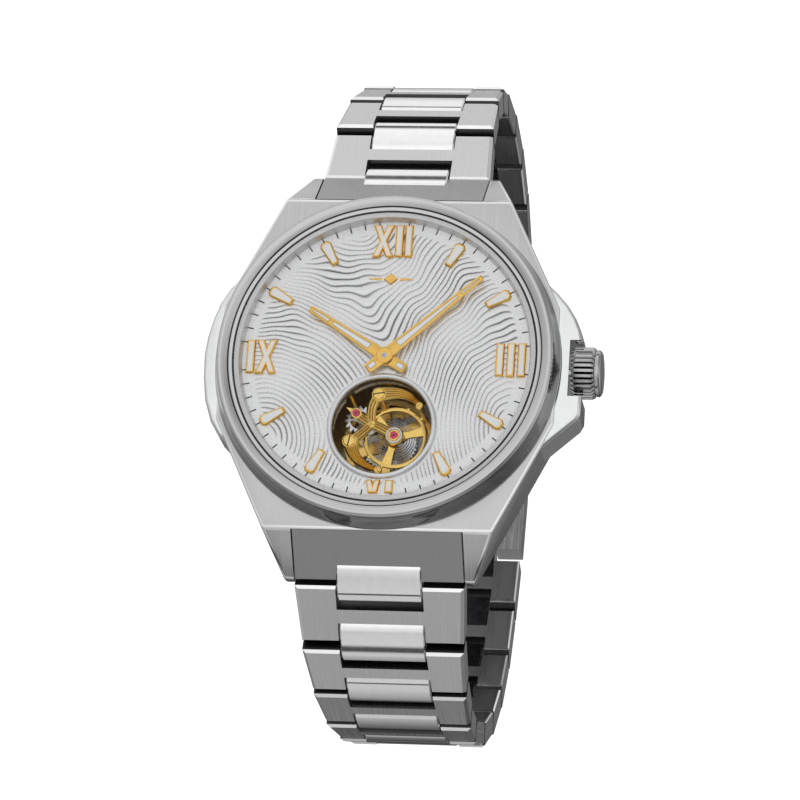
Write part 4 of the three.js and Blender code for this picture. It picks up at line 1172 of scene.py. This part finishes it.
def cage_bridge():
    z0, z1 = CAGE_TOP
    bm = bmesh.new()
    p0, p1, p2, p3 = PILLARS
    knot = (-1.35, 0.55)
    fluted_arm(bm, (p1[0] - 0.5, p1[1] - 0.1), (2.5, 5.3), p0, 0.98, 0.24, z0, z1, 5)
    fluted_arm(bm, (p2[0] + 0.1, p2[1] + 0.4), (-3.6, -4.3), p3, 0.98, 0.24, z0, z1, 5)
    fluted_arm(bm, p1, (-1.9, 2.9), knot, 0.62, 0.55, z0, z1)
    fluted_arm(bm, p2, (-2.7, -0.8), knot, 0.62, 0.55, z0, z1)
    fluted_arm(bm, ESCAPE_OFFSET, (-2.6, 1.4), knot, 0.6, 0.5, z0, z1)
    fluted_arm(bm, knot, (-0.2, 0.2), BALANCE_OFFSET, 0.55, 0.6, z0, z1)
    tip = spun([(-1.55, 0), (0.25, -0.62), (0.25, 0.62)], -30, *at_cage(ESCAPE_OFFSET))
    prism(bm, tip, z0, z1 + 0.01, 0.04)
    disc(bm, 1.12, z0, z1 + 0.1, *at_cage(BALANCE_OFFSET), edge=0.12)
    disc(bm, 0.68, z0, z1 + 0.08, *at_cage(ESCAPE_OFFSET), edge=0.08, count=32)
    disc(bm, 0.5, z0, z1 + 0.04, *at_cage(knot), edge=0.1, count=24)
    for point, r in ((p1, 0.92), (p2, 0.92), (p0, 0.5), (p3, 0.5)):
        disc(bm, r, z0, z1 + 0.05, *at_cage(point), edge=0.1, count=32)
    piece("cage_bridge_arms", bm, [GILT, GILT_SHADOW], "cage", ["cage_bridge"], 35)
    bm = bmesh.new()
    screw(bm, *at_cage(p1), z1 + 0.05, 0.72, 10, 0.3)
    screw(bm, *at_cage(p2), z1 + 0.05, 0.72, 80, 0.3)
    screw(bm, *at_cage(p0), z1 + 0.03, 0.32, 40, 0.15)
    screw(bm, *at_cage(p3), z1 + 0.03, 0.32, 120, 0.15)
    piece("cage_screws", bm, [GILT, INK_AND_SHADE], "cage")


def shock_setting():
    x, y = at_cage(BALANCE_OFFSET)
    z = CAGE_TOP[1]
    bm = bmesh.new()
    lathe(bm, [(0.68, z + 0.1), (0.98, z + 0.1), (0.95, z + 0.24), (0.8, z + 0.28), (0.7, z + 0.2)], x, y, 48)
    piece("shock_ring", bm, [MOVEMENT_STEEL], "cage")
    bm = bmesh.new()
    lathe(bm, [(0.45, z + 0.12), (0.62, z + 0.12), (0.6, z + 0.2), (0.48, z + 0.22)], x, y, 40)
    for k in range(3):
        outline = spun([(0.4, -0.1), (0.72, -0.14), (0.72, 0.14), (0.4, 0.1)], 50 + 120 * k, x, y)
        prism(bm, outline, z + 0.12, z + 0.23, 0.02)
    piece("shock_spring", bm, [GOLD_POLISHED], "cage")
    bm = bmesh.new()
    for (jx, jy), r, low in ((BALANCE_OFFSET, 0.46, 0.12), (ESCAPE_OFFSET, 0.48, 0.09)):
        jx, jy = at_cage((jx, jy))
        lathe(bm, [(r * 0.28, z + low), (r, z + low), (r, z + low + 0.05), (r * 0.75, z + low + 0.11),
                   (r * 0.28, z + low + 0.04)], jx, jy, 32)
        # A black disc in each jewel's middle paints the shade in its hole.
        disc(bm, r * 0.26, z + low - 0.02, z + low + 0.03, jx, jy, count=16, material=1)
    piece("cage_jewels", bm, [RUBY, INK_AND_SHADE], "cage")


def balance():
    x, y = at_cage(BALANCE_OFFSET)
    bm = bmesh.new()
    lathe(bm, [(3.32, 8.12), (3.76, 8.12), (3.8, 8.3), (3.74, 8.5), (3.55, 8.56), (3.36, 8.5), (3.3, 8.3)],
          x, y, 96)
    for k in range(3):
        angle = 15 + 120 * k
        outline = [(0.4, -0.62), (1.6, -0.42), (3.4, -0.62), (3.4, 0.62), (1.6, 0.42), (0.4, 0.62)]
        prism(bm, spun(outline, angle, x, y), 8.2, 8.42, 0.05)
    lathe(bm, [(0.2, 8.0), (0.85, 8.0), (0.9, 8.5), (0.55, 8.56), (0.2, 8.56)], x, y, 40)
    disc(bm, 0.2, 4.1, 8.9, x, y, count=20)
    for k in range(12):
        if k % 3 == 0:
            continue
        outline = rectangle(3.7, 4.02 if k % 2 else 3.96, -0.17, 0.17)
        prism(bm, spun(outline, 30 * k + 9, x, y), 8.2, 8.46, 0.04)
    piece("balance_rim_and_arms", bm, [GILT], "balance", ["balance_wheel"], 35)


def spiral():
    x, y = at_cage(BALANCE_OFFSET)
    bm = bmesh.new()
    turns, per_turn = 7, 40
    count = turns * per_turn
    rings = []
    for i in range(count + 1):
        angle = 2 * math.pi * i / per_turn
        r = 0.5 + 1.95 * i / count
        c, s = math.cos(angle), math.sin(angle)
        rings.append([(x + (r + w) * c, y + (r + w) * s, z) for w, z in
                      ((-0.03, 7.56), (0.03, 7.56), (0.03, 7.79), (-0.03, 7.79))])
    stack(bm, rings)
    piece("hairspring_coil", bm, [BLUED], "balance", ["hairspring"])


def toothed(bm, teeth, root, tip, z0, z1, x, y, lean=0.0, land=0.25, hole=None):
    """A wheel with flat-topped teeth, and a round hole if it has one."""
    outline = []
    step = 360 / teeth
    for i in range(teeth):
        start = i * step
        outline.append(polar(root, start))
        outline.append(polar(root, start + step * (0.5 - land)))
        outline.append(polar(tip, start + step * (0.5 - land * 0.4 + lean)))
        outline.append(polar(tip, start + step * (0.5 + land * 0.4 + lean)))
    outline = [(x + px, y + py) for px, py in outline]
    if hole is None:
        prism(bm, outline, z0, z1)
        return
    inner = []
    for i in range(len(outline)):
        a = math.atan2(outline[i][1] - y, outline[i][0] - x)
        inner.append((x + hole * math.cos(a), y + hole * math.sin(a)))
    loops = [[bm.verts.new((px, py, z)) for px, py in ring] for ring, z in
             ((outline, z0), (outline, z1), (inner, z1), (inner, z0))]
    count = len(outline)
    for k in range(4):
        low, high = loops[k], loops[(k + 1) % 4]
        for i in range(count):
            j = (i + 1) % count
            bm.faces.new((low[i], low[j], high[j], high[i]))


def spokes(bm, count, hub, rim, half, z0, z1, x, y):
    for k in range(count):
        outline = [(hub * 0.5, -half * 1.3), (rim, -half), (rim, half), (hub * 0.5, half * 1.3)]
        prism(bm, spun(outline, 360 / count * k, x, y), z0, z1)
    disc(bm, hub, z0 - 0.02, z1 + 0.02, x, y, count=32)


def escape_wheel():
    x, y = at_cage(ESCAPE_OFFSET)
    bm = bmesh.new()
    toothed(bm, 15, 1.32, 1.76, 6.5, 6.8, x, y, lean=0.25, land=0.3, hole=1.12)
    spokes(bm, 4, 0.35, 1.15, 0.09, 6.52, 6.78, x, y)
    disc(bm, 0.16, 3.45, 8.88, x, y, count=16)
    toothed(bm, 6, 0.33, 0.55, 3.42, 3.64, x, y, land=0.2)
    piece("escape_wheel_teeth", bm, [MOVEMENT_STEEL], "escape_wheel", ["escape_wheel"])


def cage_base():
    x, y = CAGE_AXIS
    bm = bmesh.new()
    lathe(bm, [(4.75, 3.8), (5.45, 3.8), (5.45, 4.0), (5.38, 4.05), (4.82, 4.05), (4.75, 4.0)], x, y, 96)
    for px, py in PILLARS:
        angle = math.atan2(py, px) / RAD
        prism(bm, spun([(0.4, -0.8), (5.0, -0.5), (5.0, 0.5), (0.4, 0.8)], angle, x, y), 3.8, 4.05, 0.04)
        disc(bm, 0.27, 4.0, 8.92, x + px, y + py, count=20)
    disc(bm, 0.8, 3.8, 4.12, x, y, count=32, edge=0.05)
    disc(bm, 0.25, 2.02, 3.9, x, y, count=20)
    toothed(bm, 6, 0.4, 0.72, 3.06, 3.32, x, y, land=0.2)
    piece("cage_floor", bm, [GILT_GRAINED], "cage", ["cage_base"])


def fixed_wheel():
    x, y = CAGE_AXIS
    bm = bmesh.new()
    toothed(bm, 42, 3.14, 3.36, 3.42, 3.6, x, y, land=0.25, hole=2.2)
    lathe(bm, [(0.9, 3.33), (2.4, 3.33), (2.4, 3.55), (0.9, 3.55)], x, y, 64)
    outline = spun([(1.2, -0.5), (6.6, -0.5), (6.9, 0.0), (6.6, 0.5), (1.2, 0.5)], -45, x, y)
    prism(bm, outline, 3.05, 3.36, 0.04)
    foot = polar(6.5, -45)
    disc(bm, 0.45, 2.66, 3.3, x + foot[0], y + foot[1], count=24)
    piece("fixed_wheel_teeth", bm, [RHODIUM_PLAIN], "head", ["fixed_wheel"])


def carried_over_finishes():
    """Gives a finish to each node that keeps its CAD solid."""
    node_finish = {
        "mainplate": RHODIUM, "train_bridge": RHODIUM, "barrel": GILT_GRAINED, "centre_wheel": GILT,
        "third_wheel": GILT, "hour_wheel": GILT, "movement_ring": RING_PAINTED_SHADE, "winding_stem": MOVEMENT_STEEL,
        "setting_lever": MOVEMENT_STEEL, "pallet_fork": MOVEMENT_STEEL, "clasp_cover": BRUSHED_Y,
        "clasp_blade_outer": BRUSHED_Y, "clasp_blade_inner": BRUSHED_Y, "push_button_right": POLISHED,
        "push_button_left": POLISHED,
    }
    for node, material in node_finish.items():
        obj = frame["nodes"][node]
        if not obj.material_slots:
            obj.data.materials.append(material)
        for slot in obj.material_slots:
            slot.material = material


def aperture_wall():
    """The near-black inner wall that joins the dial's opening to the main plate: painted shade inside the
    opening.
    """
    bm = bmesh.new()
    lathe(bm, [(5.95, 8.95), (6.2, 8.95), (6.2, 9.75), (5.95, 9.75)], *CAGE_AXIS, count=96)
    piece("aperture_wall", bm, [RING_PAINTED_SHADE], "head", ())


case_middle()
bezel()
crystal()
rehaut()
dial_plate()
ticks()
hour_bars()
numerals()
emblem()
aperture_ring()
aperture_wall()
hand("hour")
hand("minute")
centre_pin()
crown()
caseback()
clasp_pins = bracelet()
clasp_trim(clasp_pins)
cage_bridge()
shock_setting()
balance()
spiral()
escape_wheel()
cage_base()
fixed_wheel()
carried_over_finishes()
